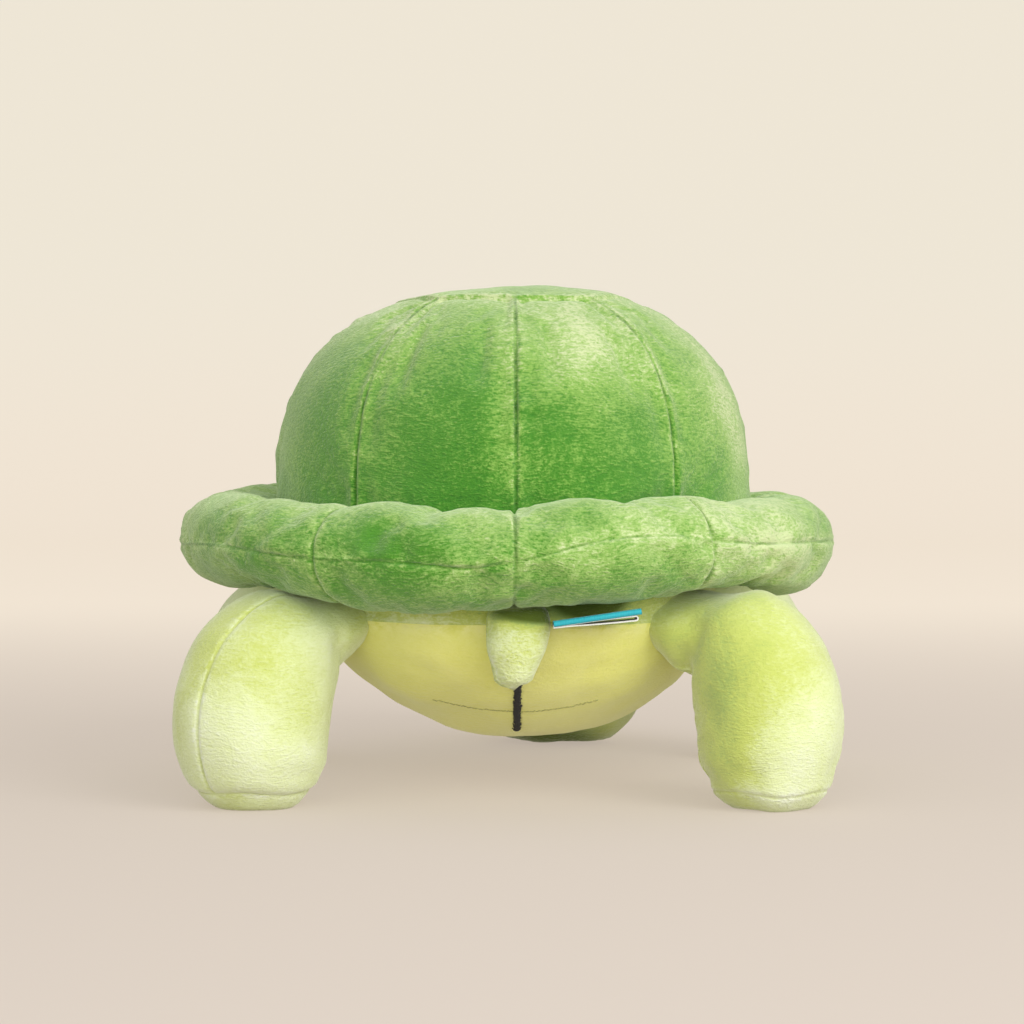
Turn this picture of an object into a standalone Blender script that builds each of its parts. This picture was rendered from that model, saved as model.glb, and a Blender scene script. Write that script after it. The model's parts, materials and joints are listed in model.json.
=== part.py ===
"""A plush turtle on its four legs: sewn cloth panels round their stuffing, with black eyes and a folded label.
Metres, +Z up, the head towards +Y. The origin is on the floor under the middle of the whole toy."""

import math

import bmesh
import bpy
from mathutils import Euler, Vector

# Cloth, seams and the clearance between pieces that touch
CLOTH = 0.0025
GAP = 0.0003
SEAM_GAP = 0.0003
SHARP_EDGE_DEG = 40

# Shell: a dome of eight gores round a crown panel
DOME_RADIUS = 0.1155
DOME_WAIST_Z = 0.140
DOME_RISE = 0.1005
DOME_ROUNDNESS = 2.5
CROWN_RADIUS = 0.058
GORE_SEAMS_DEG = (0, 41, 90, 139, 180, 221, 270, 319)
GORE_STEPS = 3
GORE_ROW_SHARES = (0.0, 0.3, 0.56, 0.76, 0.9, 1.0)
CROWN_ROW_SHARES = (0.55, 0.0)
DOME_TUCK = 0.0015

# Brim: a puffed ring round the dome, lower at the back, its underside pushed up over each leg
BRIM_OVERHANG = 0.0425
BRIM_HALF_WIDTH = 0.026
BRIM_HALF_HEIGHT = 0.0222
BRIM_Z = 0.1195
BRIM_TILT = 0.006
BRIM_LEG_LIFT = 0.0048
BRIM_LIFT_SPREAD_DEG = 18
BRIM_SEAMS_DEG = (0, 35, 90, 145, 180, 215, 270, 325)
BRIM_STEPS = 4
BRIM_ROWS = 4

# Body: a bowl with an upright band above it
BODY_HALF_WIDTH = 0.098
BODY_BACK = 0.113
BODY_FRONT = 0.100
BODY_WAIST_Z = 0.090
BODY_BOTTOM_Z = 0.021
BODY_ROUNDNESS = 2.4
BELLY_SEAM_Z = 0.082
BODY_STEPS = 24
BELLY_ROWS = 4

# Legs: a round hip cap against the body, then a bent column down to a sole
LEG_HALF_WIDTH = 0.0352
HIP_CAP_RADIUS = 0.018
SOLE_SEAM_Z = 0.0085
SOLE_EDGE_Z = 0.0035
SOLE_HALF_WIDTH = 0.0262
SOLE_FLAT_INSET = 0.0055
LEG_SIDES = 12
HIP_HEIGHT_SHARE = 0.784
HIND_TOP_Z = 0.097
HIND_REACH = 0.042
HIND_HIP_DEG = 37
HIND_HIP_SINK = 0.0011
FRONT_TOP_Z = 0.104
FRONT_REACH = 0.053
FRONT_HIP_DEG = 33
FRONT_HIP_SINK = 0.0017
# Each ring of the hip cap: how far out and how wide, as shares of the cap's radius
HIP_CAP_SHARES = ((0.10, 0.44), (0.38, 0.78))
# Each ring of the column, from hip to ankle, as shares: inner edge across and up, outer edge across and up,
# and half depth. Across is a share of the half width from the column's middle, up is a share of the top.
LEG_RING_SHARES = (
    (-0.93, 0.60, -0.62, 0.980, 0.60),
    (-0.98, 0.53, -0.18, 0.998, 0.78),
    (-1.00, 0.44, 0.32, 0.915, 0.90),
    (-0.98, 0.35, 0.75, 0.755, 0.96),
    (-0.94, 0.25, 0.98, 0.515, 0.97),
    (-0.85, 0.16, 0.95, 0.275, 0.90),
)

# Head: a round neck end against the body, then a broad head, turned to its right
NECK_RADIUS = 0.030
NECK_X = 0.002
NECK_SEAT_Z = 0.070
NECK_SINK = 0.0016
HEAD_TURN_DEG = -20
HEAD_HALF_WIDTH = 0.062
HEAD_HALF_HEIGHT = 0.054
HEAD_LENGTH = 0.111
HEAD_DROP = 0.0025
HEAD_SIDES = 16
# Each ring of the neck end, as shares of its radius: how far ahead of its back, and how wide
NECK_END_SHARES = ((0.11, 0.46), (0.40, 0.80), (0.74, 0.97))
# Each ring of the head, as shares: how far ahead of the neck's middle, half width, half height
HEAD_RING_SHARES = (
    (0.07, 0.68, 0.72),
    (0.17, 0.86, 0.87),
    (0.30, 0.975, 0.97),
    (0.45, 1.00, 1.00),
    (0.62, 0.955, 0.93),
    (0.78, 0.80, 0.75),
    (0.91, 0.53, 0.48),
    (0.98, 0.25, 0.22),
)

# Eyes: half-round buttons on a stem, held by a washer behind the cloth
EYE_RADIUS = 0.0085
EYE_HEIGHT = 0.0055
EYE_STEM_RADIUS = 0.0022
EYE_STEM_LENGTH = 0.0095
WASHER_RADIUS = 0.0070
WASHER_THICKNESS = 0.0014
EYE_ROUND_STEPS = 16
EYE_RING = 8
EYE_SIDE = 1
MOUTH_HALF_WIDTH_DEG = 34
MOUTH_RADIUS = 0.0008
MOUTH_POINTS = 13

# Tail: a short flattened tongue hanging from the back of the body
TAIL_X = 0.002
TAIL_TOP_Z = 0.0892
TAIL_TIP_Z = 0.0565
TAIL_PIVOT_Z = 0.0755
TAIL_SINK = 0.0010
TAIL_HALF_WIDTH = 0.0145
TAIL_HALF_DEPTH = 0.0085
TAIL_SIDES = 12
# Each ring of the tail, as shares: how far down, half width, half depth
TAIL_RING_SHARES = (
    (0.03, 0.62, 0.50),
    (0.10, 0.88, 0.80),
    (0.22, 1.00, 0.98),
    (0.42, 0.98, 1.00),
    (0.65, 0.83, 0.82),
    (0.85, 0.64, 0.62),
    (0.97, 0.46, 0.40),
)

# Label: a folded ribbon with a second, flat ribbon inside the fold
LABEL_WIDTH = 0.039
LABEL_LENGTH = 0.024
LABEL_THICKNESS = 0.0006
LABEL_OPENING = 0.0046
LABEL_Z = 0.0845
LABEL_TURN_DEG = 20
LABEL_LEAN_DEG = -8
LABEL_INNER_LENGTH = 0.019
LABEL_FOLD_STEPS = 6

# Stitched line on the belly under the tail
LINE_WIDTH = 0.0034
LINE_THICKNESS = 0.0008
LINE_X = 0.002
LINE_TOP_Z = 0.054
LINE_BOTTOM_Z = 0.029
LINE_STEPS = 5

GREEN = (0.14, 0.34, 0.06, 1.0)
BRIM_GREEN = (0.26, 0.46, 0.11, 1.0)
PALE_GREEN = (0.62, 0.70, 0.26, 1.0)
YELLOW = (0.60, 0.56, 0.18, 1.0)
FILL_WHITE = (0.85, 0.85, 0.82, 1.0)
TEAL = (0.03, 0.30, 0.34, 1.0)
WHITE = (0.80, 0.82, 0.80, 1.0)
BLACK = (0.02, 0.02, 0.02, 1.0)

# The brim's inner edge is a polygon, so its corners lie further out than the dome that it surrounds
WIDEST_BRIM_STEP = math.radians(
    max(b - a for a, b in zip(BRIM_SEAMS_DEG, BRIM_SEAMS_DEG[1:])) / BRIM_STEPS
)
BRIM_INNER_RADIUS = DOME_RADIUS / math.cos(WIDEST_BRIM_STEP / 2) + GAP
BRIM_RADIUS = DOME_RADIUS + BRIM_OVERHANG
BRIM_MIDDLE_RADIUS = BRIM_RADIUS - BRIM_HALF_WIDTH
BRIM_SEAT_COS = (BRIM_INNER_RADIUS - BRIM_MIDDLE_RADIUS) / BRIM_HALF_WIDTH
BRIM_SEAT_ANGLE = math.acos(BRIM_SEAT_COS)
BRIM_SEAT_RISE = BRIM_HALF_HEIGHT * math.sin(BRIM_SEAT_ANGLE)
FILL_DEPTH = CLOTH + GAP
DOME_FILL_RADIUS = DOME_RADIUS - FILL_DEPTH
BRIM_FILL_INNER_RADIUS = DOME_FILL_RADIUS / math.cos(WIDEST_BRIM_STEP / 2) + GAP
LINING_RADIUS = BRIM_INNER_RADIUS * math.cos(WIDEST_BRIM_STEP / 2) - GAP
LINING_Z = BRIM_Z - BRIM_SEAT_RISE
HEAD_TURN = math.radians(HEAD_TURN_DEG)


def clear_scene():
    for thing in list(bpy.data.objects):
        bpy.data.objects.remove(thing, do_unlink=True)


def material(name, colour, roughness, metallic=0.0):
    made = bpy.data.materials.new(name)
    made.use_nodes = True
    shader = made.node_tree.nodes["Principled BSDF"]
    shader.inputs["Base Color"].default_value = colour
    shader.inputs["Roughness"].default_value = roughness
    shader.inputs["Metallic"].default_value = metallic
    return made


def empty(name, parent, location, turn=0.0):
    made = bpy.data.objects.new(name, None)
    bpy.context.scene.collection.objects.link(made)
    made.parent = parent
    made.location = location
    made.rotation_euler = Euler((0.0, 0.0, turn))
    return made


def finished(name, mesh_builder, colour, roughness, parent):
    """The object of a bmesh, its doubled points merged and its faces pointing out."""
    bmesh.ops.remove_doubles(mesh_builder, verts=mesh_builder.verts, dist=GAP / 100)
    bmesh.ops.recalc_face_normals(mesh_builder, faces=mesh_builder.faces)
    if mesh_builder.calc_volume(signed=True) < 0:
        bmesh.ops.reverse_faces(mesh_builder, faces=mesh_builder.faces)
    mesh = bpy.data.meshes.new(name)
    mesh_builder.to_mesh(mesh)
    mesh_builder.free()
    mesh.shade_smooth()
    mesh.set_sharp_from_angle(angle=math.radians(SHARP_EDGE_DEG))
    mesh.materials.append(material(name, colour, roughness))
    made = bpy.data.objects.new(name, mesh)
    bpy.context.scene.collection.objects.link(made)
    made.parent = parent
    return made


def skin_faces(mesh_builder, grid, wrap):
    """Adds a grid of points, rows of equal length, as triangles split along one diagonal."""
    rows = [[mesh_builder.verts.new(point) for point in row] for row in grid]
    columns = len(rows[0])
    for below, above in zip(rows, rows[1:]):
        for j in range(columns if wrap else columns - 1):
            k = (j + 1) % columns
            mesh_builder.faces.new((below[j], below[k], above[k]))
            mesh_builder.faces.new((below[j], above[k], above[j]))
    return rows


def bridge(mesh_builder, first, second, wrap):
    """Joins two strings of points of equal length by a strip of faces."""
    count = len(first)
    for j in range(count if wrap else count - 1):
        k = (j + 1) % count
        mesh_builder.faces.new((first[j], first[k], second[k]))
        mesh_builder.faces.new((first[j], second[k], second[j]))


def is_pole(row):
    return (row[0] - row[len(row) // 2]).length < GAP / 10 and (row[0] - row[1]).length < GAP / 10


def cloth_piece(name, outer, inner, wrap, colour, parent, roughness=0.95):
    """A sheet between two grids of points. It is closed along its open edges."""
    builder = bmesh.new()
    top = skin_faces(builder, outer, wrap)
    under = skin_faces(builder, inner, wrap)
    for k in (0, -1):
        if not is_pole(outer[k]):
            bridge(builder, top[k], under[k], wrap)
    if not wrap:
        for j in (0, -1):
            bridge(builder, [row[j] for row in top], [row[j] for row in under], False)
    return finished(name, builder, colour, roughness, parent)


def fill_piece(name, rings, parent):
    """A solid inside a stack of rings, whose first and last rings are poles or get a flat cap."""
    builder = bmesh.new()
    rows = skin_faces(builder, rings, True)
    for k in (0, -1):
        if not is_pole(rings[k]):
            builder.faces.new(rows[k])
    return finished(name, builder, FILL_WHITE, 0.9, parent)


def moved(point, towards, distance):
    step = towards - point
    return point + step.normalized() * distance if step.length > GAP / 10 else point.copy()


def drawn_in(grid, wrap):
    """The grid with each open edge drawn in by half a seam gap."""
    half = SEAM_GAP / 2
    made = [[point.copy() for point in row] for row in grid]
    if not wrap:
        for row, source in zip(made, grid):
            row[0] = moved(source[0], source[1], half)
            row[-1] = moved(source[-1], source[-2], half)
    for k, near in ((0, 1), (-1, -2)):
        if not is_pole(grid[k]):
            made[k] = [moved(a, b, half) for a, b in zip(made[k], made[near])]
    return made


class Form:
    """A stuffed shape: rings of points, each closed, and the way out of the shape at every point.
    The hand is 1 where the points run anticlockwise seen from the far end of the rings, or else -1."""

    def __init__(self, rings, hand):
        self.rings = rings
        self.hand = hand
        self.count = len(rings[0])
        self.ways = [self.ring_ways(i) for i in range(len(rings))]

    def ring_ways(self, i):
        """The ways out at ring i, from its own points and the rings before and after it."""
        after = self.rings[min(i + 1, len(self.rings) - 1)]
        before = self.rings[max(i - 1, 0)]
        pole = is_pole(self.rings[i])
        ring = (after if i == 0 else before) if pole else self.rings[i]
        ways = []
        for j in range(self.count):
            round_it = ring[(j + 1) % self.count] - ring[j - 1]
            ways.append(round_it.cross(after[j] - before[j]).normalized() * self.hand)
        if pole:
            return [sum(ways, Vector()).normalized()] * self.count
        return ways

    def layer(self, depth):
        return [
            [point - way * depth for point, way in zip(ring, ways)]
            for ring, ways in zip(self.rings, self.ways)
        ]

    def panel(self, name, colour, parent, rows, columns=None):
        """The cloth over part of the form: rows and columns are first and last, columns None for all round."""
        first, last = rows
        grids = []
        for depth in (0.0, CLOTH):
            grid = self.layer(depth)[first : last + 1]
            if columns:
                a, b = columns
                grid = [[row[j % self.count] for j in range(a, b + 1)] for row in grid]
            grids.append(drawn_in(grid, columns is None))
        return cloth_piece(name, grids[0], grids[1], columns is None, colour, parent)


def angles_between(seams_deg, steps):
    """Angles in radians, steps of them from each seam to the next, all the way round."""
    ends = seams_deg[1:] + (seams_deg[0] + 360,)
    return [
        math.radians(a + (b - a) * k / steps) for a, b in zip(seams_deg, ends) for k in range(steps)
    ]


def around(angle, radius, height):
    """A point round the shell's middle: angle 0 is straight back, 90 degrees is +X."""
    return Vector((radius * math.sin(angle), -radius * math.cos(angle), height))


def brim_z(angle):
    return BRIM_Z - BRIM_TILT * math.cos(angle)


def brim_lift(angle):
    """How far the brim's underside is pushed up by the legs below it."""
    spread = math.radians(BRIM_LIFT_SPREAD_DEG)
    lift = 0.0
    for foot in FEET:
        away = angle - math.atan2(foot.x, -foot.y)
        away = (away + math.pi) % math.tau - math.pi
        lift += math.exp(-((away / spread) ** 2))
    return BRIM_LEG_LIFT * lift


def lining_z(point):
    """The height of the shell's flat underside, which leans as the brim does."""
    return LINING_Z + BRIM_TILT * point.y / BRIM_INNER_RADIUS


def body_outline(angle, back, front):
    """A point of the body's outline in plan and the level way out from it."""
    power = BODY_ROUNDNESS
    c, s = math.cos(angle), math.sin(angle)
    length = front if s > 0 else back
    x = math.copysign(BODY_HALF_WIDTH * abs(c) ** (2 / power), c)
    y = math.copysign(length * abs(s) ** (2 / power), s)
    way = Vector(
        (
            math.copysign(abs(x / BODY_HALF_WIDTH) ** (power - 1) / BODY_HALF_WIDTH, x),
            math.copysign(abs(y / length) ** (power - 1) / length, y),
            0.0,
        )
    )
    return Vector((x, y, 0.0)), way.normalized()


def bowl_share(height):
    """How wide the body is at a height, as a share of its outline."""
    below = max(0.0, BODY_WAIST_Z - height) / (BODY_WAIST_Z - BODY_BOTTOM_Z)
    return math.sqrt(max(0.0, 1 - below**2))


def hip_place(side, back, top_z, hip_deg, sink):
    """Where a leg meets the body: the point on the body and the level way out there. The cap's open rim
    lies against the cloth, so the middle of its round end is sunk by a little."""
    sign = -1 if back else 1
    angle = math.radians(sign * hip_deg)
    point, way = body_outline(angle, BODY_BACK, BODY_FRONT)
    point = point * bowl_share(top_z * HIP_HEIGHT_SHARE) + way * (GAP - sink)
    if side < 0:
        point.x, way.x = -point.x, -way.x
    point.z = top_z * HIP_HEIGHT_SHARE
    return point, way


LEGS = []
FEET = []
for leg_name, leg_side, leg_back in (
    ("hind_left_leg", -1, True),
    ("hind_right_leg", 1, True),
    ("front_left_leg", -1, False),
    ("front_right_leg", 1, False),
):
    leg_top, leg_reach, leg_deg, leg_sink = (
        (HIND_TOP_Z, HIND_REACH, HIND_HIP_DEG, HIND_HIP_SINK)
        if leg_back
        else (FRONT_TOP_Z, FRONT_REACH, FRONT_HIP_DEG, FRONT_HIP_SINK)
    )
    hip, out = hip_place(leg_side, leg_back, leg_top, leg_deg, leg_sink)
    LEGS.append((leg_name, hip, out, leg_top, leg_reach))
    FEET.append(hip + out * leg_reach)


def crown_radius(angle):
    """The crown panel is an eight-sided polygon with a corner at each gore seam."""
    seams = [math.radians(a) for a in GORE_SEAMS_DEG] + [math.tau]
    for a, b in zip(seams, seams[1:]):
        if a <= angle <= b:
            return CROWN_RADIUS * math.cos((b - a) / 2) / math.cos(angle - (a + b) / 2)
    return CROWN_RADIUS


def dome_radius_at(height):
    above = max(0.0, height - DOME_WAIST_Z) / DOME_RISE
    return DOME_RADIUS * max(0.0, 1 - above**DOME_ROUNDNESS) ** (1 / DOME_ROUNDNESS)


def dome_height_at(radius):
    across = radius / DOME_RADIUS
    return DOME_WAIST_Z + DOME_RISE * (1 - across**DOME_ROUNDNESS) ** (1 / DOME_ROUNDNESS)


def dome_form():
    angles = angles_between(GORE_SEAMS_DEG, GORE_STEPS)
    rings = []
    for share in GORE_ROW_SHARES:
        ring = []
        for angle in angles:
            low = brim_z(angle) + BRIM_SEAT_RISE - DOME_TUCK
            high = dome_height_at(crown_radius(angle))
            height = low + (high - low) * share
            ring.append(around(angle, dome_radius_at(height), height))
        rings.append(ring)
    for share in CROWN_ROW_SHARES:
        radii = [crown_radius(angle) * share for angle in angles]
        rings.append([around(a, r, dome_height_at(r)) for a, r in zip(angles, radii)])
    return Form(rings, 1)


def make_shell(toy):
    dome = dome_form()
    crown_row = len(GORE_ROW_SHARES) - 1
    last = len(dome.rings) - 1
    for number in range(len(GORE_SEAMS_DEG)):
        columns = (number * GORE_STEPS, (number + 1) * GORE_STEPS)
        dome.panel(f"shell_gore_{number + 1}", GREEN, toy, (0, crown_row), columns)
    dome.panel("shell_crown_panel", GREEN, toy, (crown_row, last))
    fill = dome.layer(FILL_DEPTH)
    floor = []
    for point in fill[0]:
        floor.append(Vector((point.x, point.y, lining_z(point) + FILL_DEPTH)))
    centre = Vector((0.0, 0.0, lining_z(Vector()) + FILL_DEPTH))
    fill_piece("shell_stuffing", [[centre] * len(floor), floor] + fill, toy)


def brim_form():
    angles = angles_between(BRIM_SEAMS_DEG, BRIM_STEPS)
    rings = []
    for k in range(-BRIM_ROWS, BRIM_ROWS + 1):
        turn = -BRIM_SEAT_ANGLE * k / BRIM_ROWS
        ring = []
        for angle in angles:
            rise = BRIM_HALF_HEIGHT * math.sin(turn)
            if rise < 0:
                rise += brim_lift(angle) * math.sin(turn) ** 2
            radius = BRIM_MIDDLE_RADIUS + BRIM_HALF_WIDTH * math.cos(turn)
            ring.append(around(angle, radius, brim_z(angle) + rise))
        rings.append(ring)
    return Form(rings, -1)


def make_brim(toy):
    brim = brim_form()
    for number in range(len(BRIM_SEAMS_DEG)):
        columns = (number * BRIM_STEPS, (number + 1) * BRIM_STEPS)
        brim.panel(f"brim_upper_{number + 1}", BRIM_GREEN, toy, (0, BRIM_ROWS), columns)
        brim.panel(f"brim_lower_{number + 1}", BRIM_GREEN, toy, (BRIM_ROWS, 2 * BRIM_ROWS), columns)
    section = brim.layer(FILL_DEPTH)
    angles = angles_between(BRIM_SEAMS_DEG, BRIM_STEPS)
    upper, lower = [], []
    for angle in angles:
        flat = around(angle, BRIM_FILL_INNER_RADIUS, 0.0)
        upper.append(flat + Vector((0.0, 0.0, brim_z(angle) + BRIM_SEAT_RISE - DOME_TUCK - FILL_DEPTH)))
        lower.append(flat + Vector((0.0, 0.0, lining_z(flat) + FILL_DEPTH + GAP)))
    rings = [upper] + section + [lower]
    builder = bmesh.new()
    rows = skin_faces(builder, rings, True)
    bridge(builder, rows[-1], rows[0], True)
    finished("brim_stuffing", builder, FILL_WHITE, 0.9, toy)


def make_lining(toy):
    angles = angles_between(BRIM_SEAMS_DEG, BRIM_STEPS)
    grids = []
    for rise in (0.0, CLOTH):
        rim = [around(angle, LINING_RADIUS, 0.0) for angle in angles]
        grid = [[Vector((p.x * k, p.y * k, lining_z(p * k) + rise)) for p in rim] for k in (1.0, 0.0)]
        grids.append(grid)
    cloth_piece("shell_base_lining", grids[0], grids[1], True, PALE_GREEN, toy)


def body_form():
    angles = [math.tau * k / BODY_STEPS for k in range(BODY_STEPS)]
    top = []
    for angle in angles:
        point, _ = body_outline(angle, BODY_BACK, BODY_FRONT)
        point.z = lining_z(point) - GAP
        top.append(point)
    rings = [top]
    deepest = BODY_WAIST_Z - BODY_BOTTOM_Z
    first = math.asin((BODY_WAIST_Z - BELLY_SEAM_Z) / deepest)
    for k in range(BELLY_ROWS + 1):
        turn = first + (math.pi / 2 - first) * k / BELLY_ROWS
        height = BODY_WAIST_Z - deepest * math.sin(turn)
        share = math.cos(turn) if k < BELLY_ROWS else 0.0
        ring = []
        for angle in angles:
            point, _ = body_outline(angle, BODY_BACK, BODY_FRONT)
            ring.append(Vector((point.x * share, point.y * share, height)))
        rings.append(ring)
    return Form(rings, -1)


def make_body(toy):
    body = body_form()
    last = len(body.rings) - 1
    body.panel("body_band", PALE_GREEN, toy, (0, 1))
    body.panel("belly_panel", YELLOW, toy, (1, last))
    fill = body.layer(FILL_DEPTH)
    fill_piece("body_stuffing", fill, toy)


def leg_form(top_z, reach):
    """A leg lying out along +X from its hip, which is the origin, with its sole on the floor below."""
    hip_z = top_z * HIP_HEIGHT_SHARE

    def ring(inner, outer, half_depth):
        centre, half = (inner + outer) / 2, (outer - inner) / 2
        points = []
        for k in range(LEG_SIDES):
            turn = math.tau * k / LEG_SIDES
            across = half * math.cos(turn)
            points.append(centre + across + Vector((0.0, half_depth * math.sin(turn), 0.0)))
        return points

    def spot(x, z):
        return Vector((x, 0.0, z - hip_z))

    rings = [[spot(0.0, hip_z)] * LEG_SIDES]
    for out_share, wide_share in HIP_CAP_SHARES:
        x, wide = out_share * HIP_CAP_RADIUS, wide_share * HIP_CAP_RADIUS
        rings.append(ring(spot(x, hip_z - wide), spot(x, hip_z + wide), wide))
    for in_x, in_z, out_x, out_z, depth in LEG_RING_SHARES:
        inner = spot(reach + in_x * LEG_HALF_WIDTH, in_z * top_z)
        outer = spot(reach + out_x * LEG_HALF_WIDTH, out_z * top_z)
        rings.append(ring(inner, outer, depth * LEG_HALF_WIDTH))
    flat = SOLE_HALF_WIDTH - SOLE_FLAT_INSET
    for half, height in ((SOLE_HALF_WIDTH, SOLE_SEAM_Z), (SOLE_HALF_WIDTH - GAP, SOLE_EDGE_Z), (flat, 0.0)):
        rings.append(ring(spot(reach - half, height), spot(reach + half, height), half))
    rings.append([spot(reach, 0.0)] * LEG_SIDES)
    return Form(rings, -1)


def make_leg(toy, name, hip, out, top_z, reach):
    pivot = empty(f"{name}_hip", toy, hip, math.atan2(out.y, out.x))
    leg = leg_form(top_z, reach)
    sole_row = len(leg.rings) - 4
    quarter = LEG_SIDES // 4
    leg.panel(f"{name}_front_panel", PALE_GREEN, pivot, (1, sole_row), (quarter, 3 * quarter))
    leg.panel(f"{name}_rear_panel", PALE_GREEN, pivot, (1, sole_row), (-quarter, quarter))
    leg.panel(f"{name}_sole", PALE_GREEN, pivot, (sole_row, len(leg.rings) - 1))
    fill_piece(f"{name}_stuffing", leg.layer(FILL_DEPTH), pivot)


def neck_place():
    """The middle of the neck's round end, seated against the front of the body."""
    share = bowl_share(NECK_SEAT_Z)
    deep = BODY_WAIST_Z - BODY_BOTTOM_Z
    slope = Vector((0.0, share / BODY_FRONT, -(BODY_WAIST_Z - NECK_SEAT_Z) / deep**2)).normalized()
    seat = Vector((NECK_X, BODY_FRONT * share, NECK_SEAT_Z))
    return seat + slope * (NECK_RADIUS + GAP - NECK_SINK)


def head_form():
    """The head lying along +Y from the middle of the neck's round end, which is the origin."""

    def ring(ahead, half_width, half_height, drop):
        points = []
        for k in range(HEAD_SIDES):
            turn = math.tau * k / HEAD_SIDES
            points.append(Vector((half_width * math.cos(turn), ahead, half_height * math.sin(turn) - drop)))
        return points

    rings = [[Vector((0.0, -NECK_RADIUS, 0.0))] * HEAD_SIDES]
    for ahead, wide in NECK_END_SHARES:
        wide = wide * NECK_RADIUS
        rings.append(ring((ahead - 1) * NECK_RADIUS, wide, wide, 0.0))
    for ahead, wide, high in HEAD_RING_SHARES:
        rings.append(ring(ahead * HEAD_LENGTH, wide * HEAD_HALF_WIDTH, high * HEAD_HALF_HEIGHT, HEAD_DROP))
    rings.append([Vector((0.0, HEAD_LENGTH, -HEAD_DROP))] * HEAD_SIDES)
    return Form(rings, -1)


def cylinder(name, radius, low, high, steps):
    """An upright cylinder between two heights of its own frame."""
    builder = bmesh.new()
    bmesh.ops.create_cone(
        builder, cap_ends=True, segments=steps, radius1=radius, radius2=radius, depth=high - low
    )
    bmesh.ops.translate(builder, verts=builder.verts, vec=Vector((0.0, 0.0, (low + high) / 2)))
    return finished(name, builder, BLACK, 0.3, None)


def cut(target, cutter, solver="EXACT"):
    cutter.hide_render = True
    cutter.display_type = "WIRE"
    made = target.modifiers.new(cutter.name, "BOOLEAN")
    made.operation = "DIFFERENCE"
    made.solver = solver
    made.object = cutter


def make_eye(side_name, form, row, column, neck, skin, fill):
    """A half-round eye on its stem in the middle of one facet of the head, the washer behind the cloth,
    and the hole and pocket that they need."""
    corners = [(row + i, column + j) for i in (0, 1) for j in (0, 1)]
    point = sum((form.rings[i][j] for i, j in corners), Vector()) / len(corners)
    way = sum((form.ways[i][j] for i, j in corners), Vector()).normalized()
    seat = empty(f"{side_name}_eye_seat", neck, point)
    seat.rotation_euler = way.to_track_quat("Z", "Y").to_euler()
    builder = bmesh.new()
    profile = [(0.0, EYE_HEIGHT)]
    steps = EYE_ROUND_STEPS // 4
    for k in range(1, steps + 1):
        turn = math.pi / 2 * k / steps
        profile.append((EYE_RADIUS * math.sin(turn), EYE_HEIGHT * math.cos(turn)))
    profile.append((EYE_STEM_RADIUS, 0.0))
    profile.append((EYE_STEM_RADIUS, -EYE_STEM_LENGTH))
    profile.append((0.0, -EYE_STEM_LENGTH))
    chain = [builder.verts.new((x, 0.0, z + GAP)) for x, z in profile]
    for a, b in zip(chain, chain[1:]):
        builder.edges.new((a, b))
    bmesh.ops.spin(
        builder,
        geom=builder.verts[:] + builder.edges[:],
        axis=(0.0, 0.0, 1.0),
        cent=(0.0, 0.0, 0.0),
        steps=EYE_ROUND_STEPS,
        angle=math.tau,
    )
    finished(f"{side_name}_eye", builder, BLACK, 0.12, seat)
    washer_top = -CLOTH - GAP * 4
    washer = cylinder(
        f"{side_name}_eye_washer", WASHER_RADIUS, washer_top - WASHER_THICKNESS, washer_top, EYE_ROUND_STEPS
    )
    bore = cylinder(
        f"{side_name}_eye_bore", EYE_STEM_RADIUS + GAP, -2 * EYE_STEM_LENGTH, EYE_RADIUS, EYE_ROUND_STEPS
    )
    pocket = cylinder(
        f"{side_name}_eye_pocket", WASHER_RADIUS + GAP, -EYE_STEM_LENGTH - GAP, EYE_RADIUS, EYE_ROUND_STEPS
    )
    for piece in (washer, bore, pocket):
        piece.parent = seat
    cut(washer, bore)
    cut(skin, bore, "MANIFOLD")
    cut(fill, pocket)


def make_mouth(form, neck):
    """A stitched smile round the front of the head, lying on the cloth."""
    row = len(form.rings) - 3
    ring, ways = form.rings[row], form.ways[row]
    curve = bpy.data.curves.new("mouth_stitching", "CURVE")
    curve.dimensions = "3D"
    curve.bevel_depth = MOUTH_RADIUS
    curve.bevel_resolution = 2
    curve.use_fill_caps = True
    spline = curve.splines.new("POLY")
    spline.points.add(MOUTH_POINTS - 1)
    half = math.radians(MOUTH_HALF_WIDTH_DEG)
    step = math.tau / HEAD_SIDES
    for k, point in enumerate(spline.points):
        turn = -math.pi / 2 - half + 2 * half * k / (MOUTH_POINTS - 1)
        place = (turn % math.tau) / step
        j = int(place)
        share = place - j
        a, b = ring[j % HEAD_SIDES], ring[(j + 1) % HEAD_SIDES]
        out = (ways[j % HEAD_SIDES] + ways[(j + 1) % HEAD_SIDES]).normalized()
        spot = a + (b - a) * share + out * (MOUTH_RADIUS + GAP)
        point.co = (*spot, 1.0)
    curve.materials.append(material("mouth_stitching", BLACK, 0.7))
    made = bpy.data.objects.new("mouth_stitching", curve)
    bpy.context.scene.collection.objects.link(made)
    made.parent = neck


def make_head(toy):
    neck = empty("neck", toy, neck_place(), HEAD_TURN)
    head = head_form()
    last = len(head.rings) - 1
    quarter = HEAD_SIDES // 4
    right = head.panel("head_right_panel", PALE_GREEN, neck, (1, last), (-quarter, quarter))
    left = head.panel("head_left_panel", PALE_GREEN, neck, (1, last), (quarter, 3 * quarter))
    fill = fill_piece("head_stuffing", head.layer(FILL_DEPTH), neck)
    make_eye("right", head, EYE_RING, EYE_SIDE, neck, right, fill)
    make_eye("left", head, EYE_RING, HEAD_SIDES // 2 - EYE_SIDE - 1, neck, left, fill)
    make_mouth(head, neck)


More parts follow.
